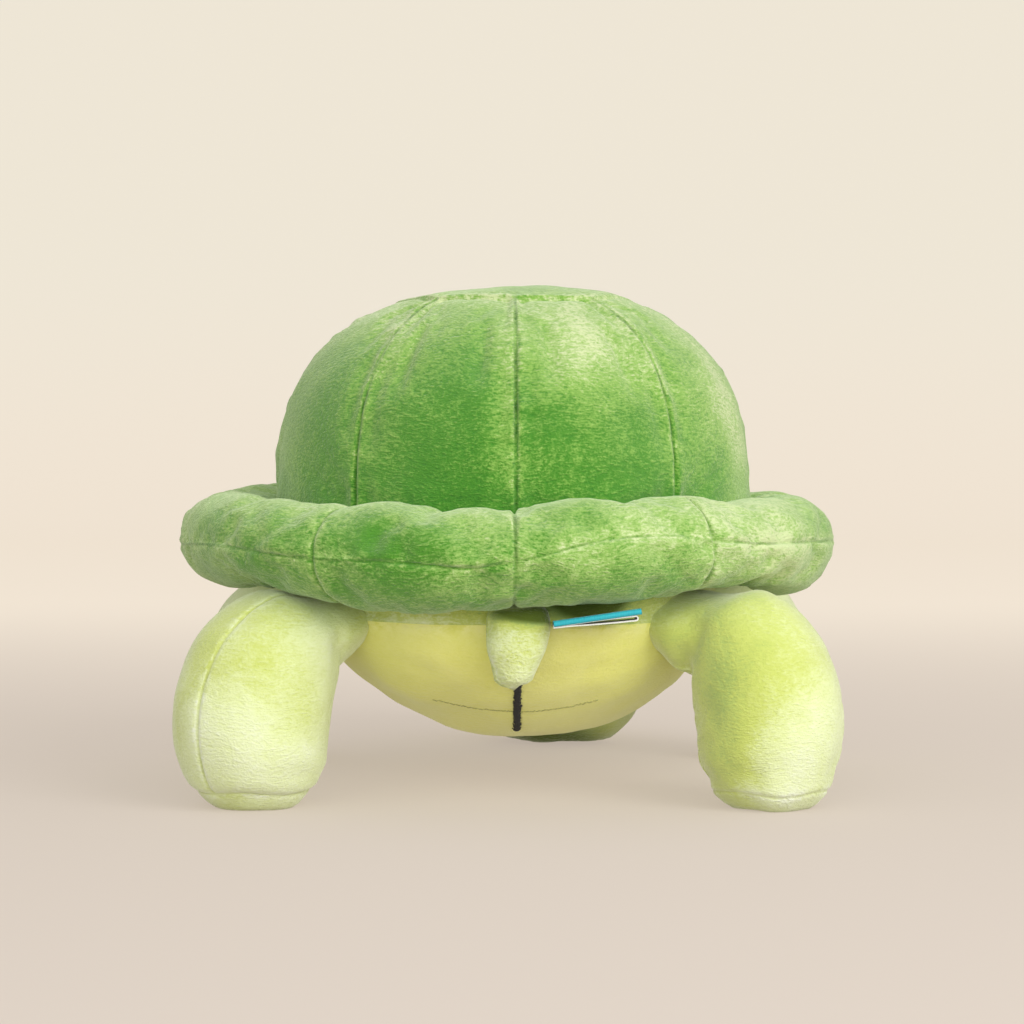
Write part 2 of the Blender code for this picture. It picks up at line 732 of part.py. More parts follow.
def make_tail(toy):
    """The tail hangs from a pivot at the back of the body, which is the origin of its pieces."""
    seat_y = -BODY_BACK - GAP - TAIL_HALF_DEPTH + TAIL_SINK
    pivot = empty("tail_pivot", toy, (TAIL_X, seat_y, TAIL_PIVOT_Z))
    top, length = TAIL_TOP_Z - TAIL_PIVOT_Z, TAIL_TOP_Z - TAIL_TIP_Z
    rings = [[Vector((0.0, 0.0, top))] * TAIL_SIDES]
    for down, wide, deep in TAIL_RING_SHARES:
        ring = []
        for k in range(TAIL_SIDES):
            turn = math.tau * k / TAIL_SIDES
            x, y = wide * TAIL_HALF_WIDTH * math.cos(turn), deep * TAIL_HALF_DEPTH * math.sin(turn)
            ring.append(Vector((x, y, top - down * length)))
        rings.append(ring)
    rings.append([Vector((0.0, 0.0, top - length))] * TAIL_SIDES)
    tail = Form(rings, -1)
    tail.panel("tail_cover", PALE_GREEN, pivot, (1, len(rings) - 1))
    fill_piece("tail_stuffing", tail.layer(FILL_DEPTH), pivot)


def make_label(toy):
    """A ribbon folded back on itself, its ends at the body, and a flat ribbon inside the fold."""
    angle = -math.pi / 2 + math.radians(LABEL_TURN_DEG)
    point, way = body_outline(angle, BODY_BACK, BODY_FRONT)
    place = point * bowl_share(LABEL_Z) + way * GAP
    place.z = LABEL_Z
    seat = empty("label_seat", toy, place, math.atan2(way.x, -way.y))
    seat.rotation_euler = Euler((0.0, math.radians(LABEL_LEAN_DEG), math.atan2(way.x, -way.y)))
    half = LABEL_OPENING / 2
    path = []
    for k in range(LABEL_FOLD_STEPS + 1):
        turn = math.pi / 2 - math.pi * k / LABEL_FOLD_STEPS
        path.append((-LABEL_LENGTH + half - half * math.cos(turn), half * math.sin(turn), turn))
    path = [(0.0, half, math.pi / 2)] + path + [(0.0, -half, -math.pi / 2)]
    grids = []
    for depth in (0.0, LABEL_THICKNESS):
        grid = []
        for y, z, turn in path:
            y, z = y + depth * math.cos(turn), z - depth * math.sin(turn)
            grid.append([Vector((x, y, z)) for x in (-LABEL_WIDTH / 2, LABEL_WIDTH / 2)])
        grids.append(grid)
    cloth_piece("label_ribbon", grids[0], grids[1], False, TEAL, seat, 0.6)
    builder = bmesh.new()
    bmesh.ops.create_cube(builder, size=1.0)
    width = LABEL_WIDTH - 2 * LABEL_THICKNESS
    bmesh.ops.scale(builder, verts=builder.verts, vec=(width, LABEL_INNER_LENGTH, LABEL_THICKNESS))
    shift = Vector((0.0, -LABEL_INNER_LENGTH / 2, half - LABEL_THICKNESS * 1.5 - GAP))
    bmesh.ops.translate(builder, verts=builder.verts, vec=shift)
    finished("label_inner_ribbon", builder, WHITE, 0.7, seat)


def back_of_body(x, height):
    """A point on the back of the body and the way out there."""
    across = abs(x) / BODY_HALF_WIDTH
    low = (BODY_WAIST_Z - height) / (BODY_WAIST_Z - BODY_BOTTOM_Z)
    share = math.sqrt(1 - low**2)
    across = across / share
    y = -BODY_BACK * share * (1 - across**BODY_ROUNDNESS) ** (1 / BODY_ROUNDNESS)
    way = Vector((0.0, y / BODY_BACK**2, -low / (BODY_WAIST_Z - BODY_BOTTOM_Z)))
    return Vector((x, y, height)), way.normalized()


def make_belly_line(toy):
    """A narrow band of close stitches down the back of the belly, from under the tail."""
    grids = []
    for depth in (GAP + LINE_THICKNESS, GAP):
        grid = []
        for k in range(LINE_STEPS + 1):
            height = LINE_TOP_Z + (LINE_BOTTOM_Z - LINE_TOP_Z) * k / LINE_STEPS
            point, way = back_of_body(LINE_X, height)
            side = Vector((LINE_WIDTH / 2, 0.0, 0.0))
            grid.append([point - side + way * depth, point + side + way * depth])
        grids.append(grid)
    cloth_piece("belly_line_stitching", grids[0], grids[1], False, BLACK, toy, 0.8)


def main():
    clear_scene()
    ahead = neck_place().y + HEAD_LENGTH * math.cos(HEAD_TURN)
    toy = empty("toy", None, (0.0, -(ahead - BRIM_RADIUS) / 2, 0.0))
    make_shell(toy)
    make_brim(toy)
    make_lining(toy)
    make_body(toy)
    for leg in LEGS:
        make_leg(toy, *leg)
    make_head(toy)
    make_tail(toy)
    make_label(toy)
    make_belly_line(toy)


main()
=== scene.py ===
"""Looks of a plush turtle on its four legs: stuffed and sewn velour, black eyes and a folded label.
Metres, +Z up, the head towards +Y, seen from behind."""

import json
import math
from dataclasses import dataclass
from typing import Callable

import bpy
import numpy as np
from bpy.props import FloatProperty, FloatVectorProperty, IntProperty, PointerProperty
from mathutils import Matrix, Vector


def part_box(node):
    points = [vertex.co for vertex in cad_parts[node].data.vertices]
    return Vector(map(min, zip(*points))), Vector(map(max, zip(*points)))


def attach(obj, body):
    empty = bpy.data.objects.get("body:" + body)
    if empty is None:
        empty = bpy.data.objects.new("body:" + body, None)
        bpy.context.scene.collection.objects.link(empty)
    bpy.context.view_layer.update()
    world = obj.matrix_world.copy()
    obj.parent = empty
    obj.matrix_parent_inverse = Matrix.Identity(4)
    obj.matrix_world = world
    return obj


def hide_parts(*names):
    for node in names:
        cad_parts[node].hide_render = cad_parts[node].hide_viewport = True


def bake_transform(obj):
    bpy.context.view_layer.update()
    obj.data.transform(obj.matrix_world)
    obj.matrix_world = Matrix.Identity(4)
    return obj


bl_info = {
    "name": "Plush Turtle",
    "version": (1, 0, 0),
    "blender": (4, 5, 0),
    "location": "View3D > Sidebar > Turtle",
    "description": "Sews a plush turtle round its packed frame",
    "category": "Add Mesh",
}

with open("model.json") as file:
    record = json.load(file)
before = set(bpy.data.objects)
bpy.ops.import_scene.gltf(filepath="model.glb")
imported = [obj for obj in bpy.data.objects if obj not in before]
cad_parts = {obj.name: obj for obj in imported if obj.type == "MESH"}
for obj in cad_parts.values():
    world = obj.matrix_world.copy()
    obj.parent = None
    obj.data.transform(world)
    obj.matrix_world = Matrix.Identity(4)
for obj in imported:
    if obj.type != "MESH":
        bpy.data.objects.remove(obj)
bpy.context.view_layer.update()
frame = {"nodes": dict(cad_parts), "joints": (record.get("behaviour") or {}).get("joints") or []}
TAU = math.tau

# Seams round the shell in degrees, 0 straight back and 90 to the right
GORE_SEAMS_DEG = (0, 39, 90, 139, 180, 221, 270, 321)
BRIM_SEAMS_DEG = (1, 35, 90, 145, 180, 215, 270, 327)
# How far the brim's outer seam wanders: degrees round, and degrees up round the brim's section
OUTER_SEAM_DEG = (
    (13, 16),
    (26, 22),
    (35, 14),
    (48, 8),
    (90, -5),
    (180, 0),
    (270, -11),
    (303, 2),
    (326, -4),
    (343, -5),
    (356, -9),
)

# How much fuller the brim is: degrees round, then crest and underside as shares of its half height
BRIM_PUFF_SHARES = (
    (0, -0.10, 0.00),
    (12, 0.12, -0.02),
    (24, 0.15, -0.08),
    (35, 0.12, -0.16),
    (46, 0.02, -0.12),
    (54, 0.08, 0.00),
    (66, 0.12, 0.20),
    (80, 0.12, 0.18),
    (97, 0.08, 0.04),
    (130, 0.00, 0.00),
    (180, 0.00, 0.00),
    (260, 0.00, 0.00),
    (295, 0.09, 0.00),
    (305, 0.06, 0.00),
    (317, 0.00, 0.00),
    (327, 0.00, 0.06),
    (338, 0.12, 0.08),
    (347, -0.10, 0.08),
    (355, -0.08, 0.04),
)

# Rings of a leg, from hip to ankle, as shares: inner edge across and up, outer edge across and up, and depth
LEG_RING_SHARES = (
    (-1.04, 0.575, -0.60, 0.985, 0.85),
    (-1.03, 0.500, -0.17, 1.000, 0.92),
    (-1.02, 0.420, 0.31, 0.920, 0.99),
    (-1.00, 0.335, 0.74, 0.760, 1.03),
    (-0.97, 0.240, 1.00, 0.530, 1.04),
    (-0.93, 0.180, 1.02, 0.310, 1.02),
    (-0.80, 0.112, 0.88, 0.140, 0.88),
)
# Rings of a leg's root, as shares of the hip cap: how far out, how far down and up, and half depth
ROOT_RING_SHARES = ((-0.40, 0.38, 0.86, 1.25), (0.34, 1.02, 1.10, 1.64))
# Where a leg's root starts, as a share of the hip cap, and its hip's height as a share of the leg's
HIP_CAP_SHARE = 0.8
HIP_HEIGHT_SHARE = 0.784
# How much of a ring's half depth counts towards the way along a leg
DEPTH_SHARE = 0.6
# How far along a leg its sole's seam strays
WANDER_SPREAD_SHARE = 0.035
# How far round a leg its rear lies from its outer side
REAR_DEG = 58
# How each leg stands: degrees of its side seam, degrees it is turned to the back, and its reach and
# width beside those of a leg as packed
LEG_STANDS = {
    "hind_left": (21, 0, 1.0, 1.0),
    "hind_right": (32, 3, 1.12, 0.90),
    "front_left": (-10, 0, 0.95, 0.93),
    "front_right": (10, 0, 1.06, 0.87),
}
# Rings of the neck, as shares of its radius: how far ahead of its back, and how wide
NECK_RING_SHARES = ((0.11, 0.46), (0.40, 0.80), (0.74, 0.97))
# How far the neck's tip lies inside its round end
NECK_TIP = 0.004
# Rings of the head, as shares: how far ahead of the neck, half width and half height
HEAD_RING_SHARES = (
    (0.07, 0.68, 0.72),
    (0.17, 0.86, 0.87),
    (0.30, 0.975, 0.97),
    (0.45, 1.00, 1.00),
    (0.62, 0.955, 0.93),
    (0.78, 0.80, 0.75),
    (0.91, 0.53, 0.48),
    (0.98, 0.25, 0.22),
)
# The head's full underside: its place and spread along the head, and how much lower it hangs
THROAT_PLACE_SHARE = 0.30
THROAT_SPREAD_SHARE = 0.26
THROAT_DROP_SHARE = 0.16
# Rings of the tail, as shares: how far down, half width and half depth
TAIL_RING_SHARES = (
    (0.03, 0.75, 0.50),
    (0.10, 0.95, 0.80),
    (0.26, 1.00, 0.97),
    (0.46, 0.97, 1.00),
    (0.57, 0.92, 1.00),
    (0.73, 0.76, 0.94),
    (0.84, 0.66, 0.86),
    (0.95, 0.52, 0.66),
)
# Strokes of the nap and of painted light and shade: degrees round, share of the way up, spread in degrees,
# spread up, and tone
# Dome: light strokes on the top and right side are painted highlight, dark ones at the foot painted shade
DOME_NAP_AND_PAINTED_LIGHT_SHARES = (
    (-14, 0.25, 13, 0.16, -0.8),
    (-24, 0.04, 34, 0.09, -0.9),
    (12, 0.16, 9, 0.12, -0.4),
    (24, 0.04, 30, 0.08, -0.7),
    (50, 0.18, 8, 0.14, -0.6),
    (-52, 0.22, 9, 0.22, -0.5),
    (-30, 0.14, 6, 0.10, 0.35),
    (-3, 0.28, 2.5, 0.20, 0.6),
    (20, 0.43, 16, 0.14, 1.5),
    (-20, 0.33, 9, 0.08, -0.4),
    (0, 0.62, 180, 0.13, 1.0),
    (66, 0.25, 12, 0.25, 1.7),
    (-80, 0.30, 10, 0.40, 0.6),
    (-38, 0.45, 10, 0.12, 0.7),
)
# Brim: the light ring round its top is painted highlight, beside the nap's own patches
BRIM_NAP_AND_PAINTED_LIGHT_SHARES = (
    (-60, 0.36, 8, 0.14, -0.1),
    (-44, 0.48, 9, 0.14, -0.7),
    (-20, 0.34, 9, 0.09, -1.0),
    (-17, 0.57, 15, 0.11, -0.7),
    (-36, 0.30, 4, 0.10, -0.4),
    (14, 0.62, 14, 0.07, -0.5),
    (34, 0.66, 10, 0.08, -0.5),
    (0, 0.14, 180, 0.14, 0.8),
    (-8, 0.50, 8, 0.05, 0.5),
    (14, 0.46, 16, 0.10, 0.5),
    (46, 0.30, 20, 0.28, 1.1),
    (54, 0.56, 16, 0.16, 1.2),
    (-74, 0.40, 8, 0.25, 0.6),
)
# Legs: the light ring at the top, under the brim, is painted light that lifts the brim's shade
LEG_NAP_AND_PAINTED_LIGHT_SHARES = (
    (0, 0.32, 180, 0.12, 0.35),
    (-62, 0.52, 16, 0.08, -0.8),
    (-58, 0.72, 14, 0.07, -0.7),
    (56, 0.60, 20, 0.16, 0.5),
    (10, 0.76, 62, 0.16, 1.4),
    (10, 0.53, 50, 0.13, -0.5),
    (0, 0.97, 180, 0.05, -0.9),
)
RIGHT_LEG_NAP_SHARES = (
    (0, 0.34, 180, 0.14, -0.8),
    (-10, 0.54, 60, 0.12, -1.0),
    (-50, 0.75, 26, 0.25, -1.0),
    (26, 0.82, 40, 0.15, 1.7),
    (62, 0.62, 18, 0.20, 0.2),
    (0, 0.97, 180, 0.05, -0.9),
)
# Band: painted shadow where the brim shades it, deepest above the label
BAND_PAINTED_SHADE_SHARES = ((197, 0.07, 10, 0.08, -4.6), (180, 0.05, 60, 0.08, -0.6))
# Head: the first stroke is painted shadow on its underside
HEAD_NAP_AND_PAINTED_SHADE_SHARES = ((270, 0.40, 46, 0.28, -2.8), (90, 0.55, 80, 0.2, 0.6))
# Tail: the last stroke is painted shadow on its top under the brim
TAIL_NAP_AND_PAINTED_SHADE_SHARES = ((270, 0.85, 70, 0.16, 0.9), (270, 0.45, 40, 0.2, 0.3), (0, 0.27, 180, 0.09, -4.2))

# Lines of the fine cloth beside a seam, in seam widths
BESIDE_SEAM = (0.4, 0.85, 1.5, 2.6)
# The roll at the tail's tip: its place beside the tip, to the left and up, and its turns
KNOT_LEFT_SHARE = 0.3
KNOT_UP_SHARE = 1.2
KNOT_TURNS = 1.7
# Threads: points along one, how proud the black line stands, and how far stitches stray
LINE_POINTS = 7
LINE_RISE = 0.0011
LINE_WIDTH_STRAY = 0.10
CLOSING_POINTS = 5
CLOSING_STITCH_SHARE = 0.86
STITCH_STRAY = 0.0002
# Ribbons: steps along a half, round the fold and across
RIBBON_STEPS = 14
FOLD_STEPS = 12
RIBBON_STRIPS = 8
# Tints of dark nap where the pile lies away, and of the painted shade under the brim and on the head's
# underside
AWAY_TINT = (0.4, 0.62, 0.9)
PAINTED_SHADE_TINT = (0.14, 0.18, 0.08)
WASHER_GREY = (0.62, 0.62, 0.6)


def linear(*display):
    """The linear colour of a display colour in 8-bit values."""
    return tuple(((c / 255 + 0.055) / 1.055) ** 2.4 if c > 10 else c / 255 / 12.92 for c in display)


def plain(name, description, default, **options):
    return FloatProperty(name=name, description=description, default=default, **options)


def length(name, description, default):
    return plain(name, description, default, min=0.0, unit="LENGTH", precision=4)


def share(name, description, default):
    return plain(name, description, default, min=0.0, max=1.0, subtype="FACTOR")


def degrees(name, description, default):
    return plain(name, description, math.radians(default), subtype="ANGLE")


def colour(name, description, *display):
    options = {"size": 3, "min": 0.0, "max": 1.0, "subtype": "COLOR"}
    return FloatVectorProperty(name=name, description=description, default=linear(*display), **options)


class TURTLE_PG_shell(bpy.types.PropertyGroup):
    dome_radius: length("Dome radius", "Radius of the dome at its foot", 0.1155)
    dome_waist: length("Dome waist", "Height at which the dome starts to close", 0.140)
    dome_rise: length("Dome rise", "Height of the dome above its waist", 0.0990)
    dome_roundness: plain("Dome roundness", "2 is round and more is squarer", 2.5)
    dome_shift: length("Dome shift", "How far the dome sits to the right on the brim", 0.0034)
    crown_radius: length("Crown radius", "Radius of the crown panel at its corners", 0.058)
    brim_overhang: length("Brim overhang", "How far the brim stands out from the dome", 0.0425)
    brim_half_width: length("Brim half width", "Half the width of the brim's section", 0.026)
    brim_half_height: length("Brim half height", "Half the height of the brim's section", 0.0222)
    brim_height: length("Brim height", "Height of the brim's equator seam", 0.1195)
    brim_tilt: length("Brim tilt", "How much lower the brim lies at the back", 0.006)
    brim_flat: share("Brim flatness", "How much lower the brim's top is at the sides", 0.16)
    brim_dip: share("Brim dip", "How much lower the brim's top is at the far right", 0.24)
    dip_place: degrees("Dip place", "Where that dip is, from the back round to the right", 117)
    dip_spread: degrees("Dip spread", "How wide the dip is", 17)
    leg_lift: length("Leg lift", "How far each leg pushes the brim's underside up", 0.0048)
    lift_spread: degrees("Lift spread", "How wide that push is round the shell", 18)


class TURTLE_PG_body(bpy.types.PropertyGroup):
    half_width: length("Half width", "Half the width of the body", 0.098)
    back: length("Back", "Length of the body behind its middle", 0.113)
    front: length("Front", "Length of the body ahead of its middle", 0.100)
    waist: length("Waist", "Height at which the body is widest", 0.090)
    bottom: length("Bottom", "Height of the belly's lowest point", 0.021)
    roundness: plain("Roundness", "2 is round and more is squarer", 2.4)
    bowl_roundness: plain("Bowl roundness", "2 is round, less is pointed", 1.84)
    left_lift: share("Left lift", "How much the belly's left side is lifted, for its way to the left", 0.08)
    belly_seam: length("Belly seam", "Height of the seam over the yellow belly", 0.082)
    lean: length("Lean", "How far the belly's lowest point lies to the right", 0.0065)
    line_width: length("Line width", "Width of the stitched black line", 0.0033)
    line_shift: length("Line shift", "How far the line lies to the right of its packed place", 0.0023)
    line_top: length("Line top", "Height of the line's upper end", 0.0565)
    line_bottom: length("Line bottom", "Height of the line's lower end", 0.0302)
    thread_pitch: length("Thread pitch", "Distance between the line's threads", 0.00042)
    closing_width: length("Closing seam width", "How far the hand-sewn seam runs to each side", 0.038)
    closing_shift: length("Closing seam shift", "How far the middle of that seam lies to the right", 0.0035)
    closing_height: length("Closing seam height", "Height of the hand-sewn seam's middle", 0.0404)
    closing_rise: length("Closing seam rise", "How much higher its ends lie", 0.0055)
    closing_pitch: length("Closing stitch pitch", "Distance between its stitches", 0.0026)
    closing_thread: length("Closing thread", "Radius of its thread", 0.00022)


class TURTLE_PG_limbs(bpy.types.PropertyGroup):
    leg_half_width: length("Leg half width", "Half the width of a leg", 0.0352)
    hip_cap: length("Hip cap", "Radius of the leg's round end at the body", 0.018)
    sole_half_width: length("Sole half width", "Radius of the seam over a sole", 0.0258)
    sole_seam: length("Sole seam", "Height of the seam over a sole", 0.0080)
    sole_edge: length("Sole edge", "Height of a sole's lower edge", 0.0034)
    sole_wander: length("Sole wander", "How far that seam strays up and down", 0.0006)
    sole_taper: length("Sole taper", "How far a sole's lower edge lies inside its seam", 0.0040)
    sole_inset: length("Sole inset", "How far a sole's flat lies inside its edge", 0.0046)
    hind_top: length("Hind leg top", "Height of a hind leg's top", 0.097)
    hind_reach: length("Hind leg reach", "How far a hind foot stands out from its hip", 0.042)
    front_top: length("Front leg top", "Height of a front leg's top", 0.100)
    front_reach: length("Front leg reach", "How far a front foot stands out from its hip", 0.050)
    tail_half_width: length("Tail half width", "Half the width of the tail", 0.0127)
    tail_half_depth: length("Tail half depth", "Half the depth of the tail", 0.0085)
    tail_rise: length("Tail rise", "How far the tail goes up under the brim", 0.004)
    tail_lean: length("Tail lean", "How far the tail's tip leans to the left", 0.0022)
    tail_shift: length("Tail shift", "How far the tail sits to the right of its packed place", 0.0026)
    knot_radius: length("Knot radius", "Radius of the rolled cloth at the tail's tip", 0.0052)
    knot_rise: length("Knot rise", "How proud the rolled cloth stands", 0.0012)


class TURTLE_PG_head(bpy.types.PropertyGroup):
    neck_radius: length("Neck radius", "Radius of the neck's round end", 0.030)
    turn: degrees("Turn", "How far the head is turned at rest", -20)
    half_width: length("Half width", "Half the width of the head", 0.062)
    half_height: length("Half height", "Half the height of the head", 0.054)
    reach: length("Length", "Length of the head ahead of the neck", 0.111)
    drop: length("Drop", "How far the head hangs below the neck", 0.0025)
    throat: length("Throat", "Height of the throat over the floor", 0.0009)
    sway: length("Sway", "How far the throat bulges to the right", 0.014)


class TURTLE_PG_label(bpy.types.PropertyGroup):
    left: length("Left", "Place of the label's left end, to the right of the middle", 0.0194)
    height: length("Height", "Height of the label's top at its left end", 0.0857)
    lip: length("Lip", "How far the label's near edge lies inside its packed place", 0.0025)
    reach: length("Length", "Length of the label", 0.0385)
    depth: length("Depth", "Depth of the folded ribbons", 0.021)
    fold: length("Fold", "How thick the outer ribbon's fold is", 0.0026)
    opening: length("Opening", "How far the inner ribbon's fold holds it open", 0.0025)
    thickness: length("Thickness", "Thickness of the ribbons", 0.0006)
    rise: degrees("Rise", "How far the outer ribbon's right end is lifted", 8.2)
    inner_rise: degrees("Inner rise", "How far the inner ribbon's right end is lifted", 6.0)
    lift: degrees("Lift", "How far the label's near edge is lifted", 2.2)


class TURTLE_PG_cloth(bpy.types.PropertyGroup):
    thread_step: length("Cloth step", "Distance between the points of the simulated cloth", 0.006)
    fine_step: length("Fine step", "Distance between the points of the finished cloth", 0.0026)
    swell: length("Swell", "How far the stuffing can push the cloth out", 0.0030)
    inset: length("Inset", "How far inside its final place the cloth starts", 0.0020)
    seam_depth: length("Seam depth", "How deep a seam lies in the cloth", 0.0016)
    seam_width: length("Seam width", "How wide a seam's valley is", 0.0011)
    ruffle: length("Ruffle", "How far from a seam the pile stands up", 0.0032)
    pucker: length("Pucker", "Height of the puckers beside a seam", 0.0007)
    pucker_pitch: length("Pucker pitch", "Distance between puckers along a seam", 0.0075)
    pucker_reach: length("Pucker reach", "How far puckers run from a seam", 0.006)
    slack: share("Slack", "How much longer than its place the cloth is cut", 0.022)
    pressure: plain("Pressure", "How hard the stuffing pushes", 80.0, min=0.0)
    frames: IntProperty(name="Frames", description="Steps the stuffing is pushed in for", default=20, min=1)
    # The pale nap colours are painted sheen, mixed in where the tone runs high and towards grazing edges
    dome_dark: colour("Shell, dark nap", "Shell where the pile lies away", 74, 138, 44)
    dome_light: colour("Shell, light nap", "Shell where the pile lies flat", 140, 181, 86)
    dome_pale: colour("Shell, pale nap", "Shell where the pile catches the light", 206, 217, 166)
    brim_dark: colour("Brim, dark nap", "Brim where the pile lies away", 78, 140, 42)
    brim_light: colour("Brim, light nap", "Brim where the pile lies flat", 150, 187, 98)
    brim_pale: colour("Brim, pale nap", "Brim where the pile catches the light", 206, 220, 164)
    pale_dark: colour("Pale cloth, dark nap", "Legs and tail where the pile lies away", 198, 210, 108)
    pale_light: colour("Pale cloth, light nap", "Legs and tail where the pile lies flat", 224, 234, 176)
    pale_pale: colour("Pale cloth, pale nap", "Legs where the pile catches the light", 236, 242, 216)
    belly_dark: colour("Belly, dark nap", "Belly where the pile lies away", 232, 232, 116)
    belly_light: colour("Belly, light nap", "Belly where the pile lies flat", 248, 247, 162)
    belly_pale: colour("Belly, pale nap", "Belly where the pile catches the light", 232, 230, 156)
    label_teal: colour("Label", "Outer ribbon of the label", 36, 190, 208)
    label_white: colour("Label inside", "Inner ribbon of the label", 240, 240, 232)
    black: colour("Black", "Eyes and stitching", 18, 17, 18)
    closing_green: colour("Closing thread", "Thread of the hand-sewn seam", 150, 150, 88)


class TURTLE_PG_stage(bpy.types.PropertyGroup):
    camera_distance: length("Camera distance", "From the camera to the middle of the shell", 1.243)
    camera_turn: degrees("Camera turn", "How far the camera stands to the left", 0.3)
    camera_aim: degrees("Camera aim", "How far the camera looks past the middle to the right", 0.11)
    camera_height: length("Camera height", "Height of the camera", 0.16)
    camera_pitch: degrees("Camera pitch", "How far the camera looks down", 1.39)
    lens: plain("Lens", "Focal length of the camera", 90.0, subtype="DISTANCE_CAMERA")
    floor_reach: length("Floor reach", "How far the floor goes on behind the turtle", 3.2)
    floor_bend: length("Floor bend", "Radius of the paper's bend up to the backdrop", 0.6)
    fade_start: length("Fade start", "How far behind the turtle the floor starts to turn pale", 0.05)
    fade_end: length("Fade end", "How far behind the turtle the floor has turned pale", 1.5)
    # The paper's glow is painted light: an emission that lightens the floor and its shadows and, by the spill
    # share, the turtle
    painted_paper_glow: share("Paper glow", "Light that comes through the paper from below", 0.62)
    far_painted_glow: share("Far glow", "How much more of that light comes through far behind", 0.15)
    paper_spill: share("Paper spill", "How much of that light falls on the turtle", 0.55)
    paper_shade: share("Paper shade", "How much of the lamps' light the paper gives back", 0.36)
    room_light: share("Room light", "Even light from all round", 0.64)
    floor_colour: colour("Floor", "Colour of the floor", 222, 210, 198)
    wall_low: colour("Wall, low", "Colour of the backdrop at the floor", 238, 227, 212)
    wall_high: colour("Wall, high", "Colour of the backdrop above", 236, 230, 216)


GROUPS = {
    "turtle_shell": TURTLE_PG_shell,
    "turtle_body": TURTLE_PG_body,
    "turtle_limbs": TURTLE_PG_limbs,
    "turtle_head": TURTLE_PG_head,
    "turtle_label": TURTLE_PG_label,
    "turtle_cloth": TURTLE_PG_cloth,
    "turtle_stage": TURTLE_PG_stage,
}


def sizes(group):
    return getattr(bpy.context.scene, group)


def middle_of(node):
    low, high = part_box(node)
    return (low + high) / 2


def joint_place(name):
    found = next(joint for joint in frame["joints"] if joint["name"] == name)
    return Vector(found["pos_m"]), Vector(found["axis"])


# Where the frame puts things
SHELL_MIDDLE = middle_of("shell_base_lining")


def leg_place(leg):
    """A leg's hip and the level way out from the body there."""
    hip, axis = joint_place(f"{leg}_leg_swing")
    out = axis if hip.x > 0 else -axis
    return hip, out.normalized()


# Cloth: grids, random ripples and the mesh


def run_along(points):
    """How far along a line each of its points lies."""
    steps = np.linalg.norm(np.diff(np.array(points, float), axis=0), axis=1)
    return np.concatenate([[0], np.cumsum(steps)])


def from_to(shares, first, last):
    """Which shares lie between the first and the last."""
    return (shares >= first - 1e-6) & (shares <= last + 1e-6)


def closed_end(grid, end, loop):
    """True if the row at that end of the grid is one point."""
    return not loop and np.ptp(grid[end], axis=0).max() < 1e-7


def ripples(points, size, seed, waves=22):
    """Smooth random values, mostly between -1 and 1, at points, with humps of about the given size."""
    rng = np.random.default_rng(seed)
    ways = rng.normal(size=(waves, points.shape[-1]))
    ways /= np.linalg.norm(ways, axis=1)[:, None]
    rates = TAU / (size * rng.uniform(1.3, 2.6, waves))
    phases = rng.uniform(0, TAU, waves)
    return np.cos(points @ (ways * rates[:, None]).T + phases).sum(-1) / math.sqrt(waves / 2) / 1.6


def grid_lines(step, reach, seams, wrap, beside=()):
    """Shares of the way along, about a step apart, with lines on each seam and beside it."""
    count = max(8, round(reach / step))
    even = np.linspace(0, 1, count, endpoint=not wrap)
    clear = (max(beside) if beside else 0) + 0.45 * step
    for seam in seams:
        away = np.abs(even - seam)
        if wrap:
            away = np.minimum(away, 1 - away)
        keep = away * reach > clear
        if not wrap:
            keep |= (even == 0) | (even == 1)
        even = even[keep]
    near = [seam + sign * d / reach for seam in seams for d in (0, *beside) for sign in (-1, 1)]
    near = np.mod(near, 1) if wrap else np.clip(near, 0, 1)
    return np.unique(np.round(np.concatenate([even, near]), 7))


def normals_of(grid, hand, loop):
    """The way out at each point of a grid whose rows are closed rings."""
    round_it = np.roll(grid, -1, 1) - np.roll(grid, 1, 1)
    if loop:
        along = np.roll(grid, -1, 0) - np.roll(grid, 1, 0)
    else:
        padded = np.concatenate([grid[:1], grid, grid[-1:]])
        along = padded[2:] - padded[:-2]
    for end in (0, -1):
        if closed_end(grid, end, loop):
            round_it[end] = round_it[1 if end == 0 else -2]
    out = np.cross(round_it, along) * hand
    size = np.linalg.norm(out, axis=-1, keepdims=True)
    out /= np.maximum(size, 1e-12)
    for end in (0, -1):
        if closed_end(grid, end, loop):
            mean = out[end].mean(0)
            out[end] = mean / np.linalg.norm(mean)
    return out


def mesh_object(name, points, faces, smooth=True):
    mesh = bpy.data.meshes.new(name)
    mesh.from_pydata(points, [], faces)
    if smooth:
        mesh.shade_smooth()
    made = bpy.data.objects.new(name, mesh)
    bpy.context.scene.collection.objects.link(made)
    return made


def grid_object(name, grid, hand, loop=False):
    """An object whose faces join the rows of a grid. A row whose points coincide becomes one point."""
    rows, columns = grid.shape[:2]
    index = np.arange(rows * columns).reshape(rows, columns)
    points = grid.reshape(-1, 3)
    for end in (0, rows - 1):
        if closed_end(grid, end, loop):
            index[end] = index[end, 0]
    used = np.unique(index)
    place = np.full(rows * columns, -1)
    place[used] = np.arange(len(used))
    index = place[index]
    below = index if loop else index[:-1]
    above = np.roll(index, -1, 0) if loop else index[1:]
    corners = [below, np.roll(below, -1, 1), np.roll(above, -1, 1), above]
    faces = np.stack(corners if hand > 0 else corners[::-1], -1).reshape(-1, 4)
    faces = [list(dict.fromkeys(face)) for face in faces.tolist()]
    return mesh_object(name, points[used].tolist(), faces), used


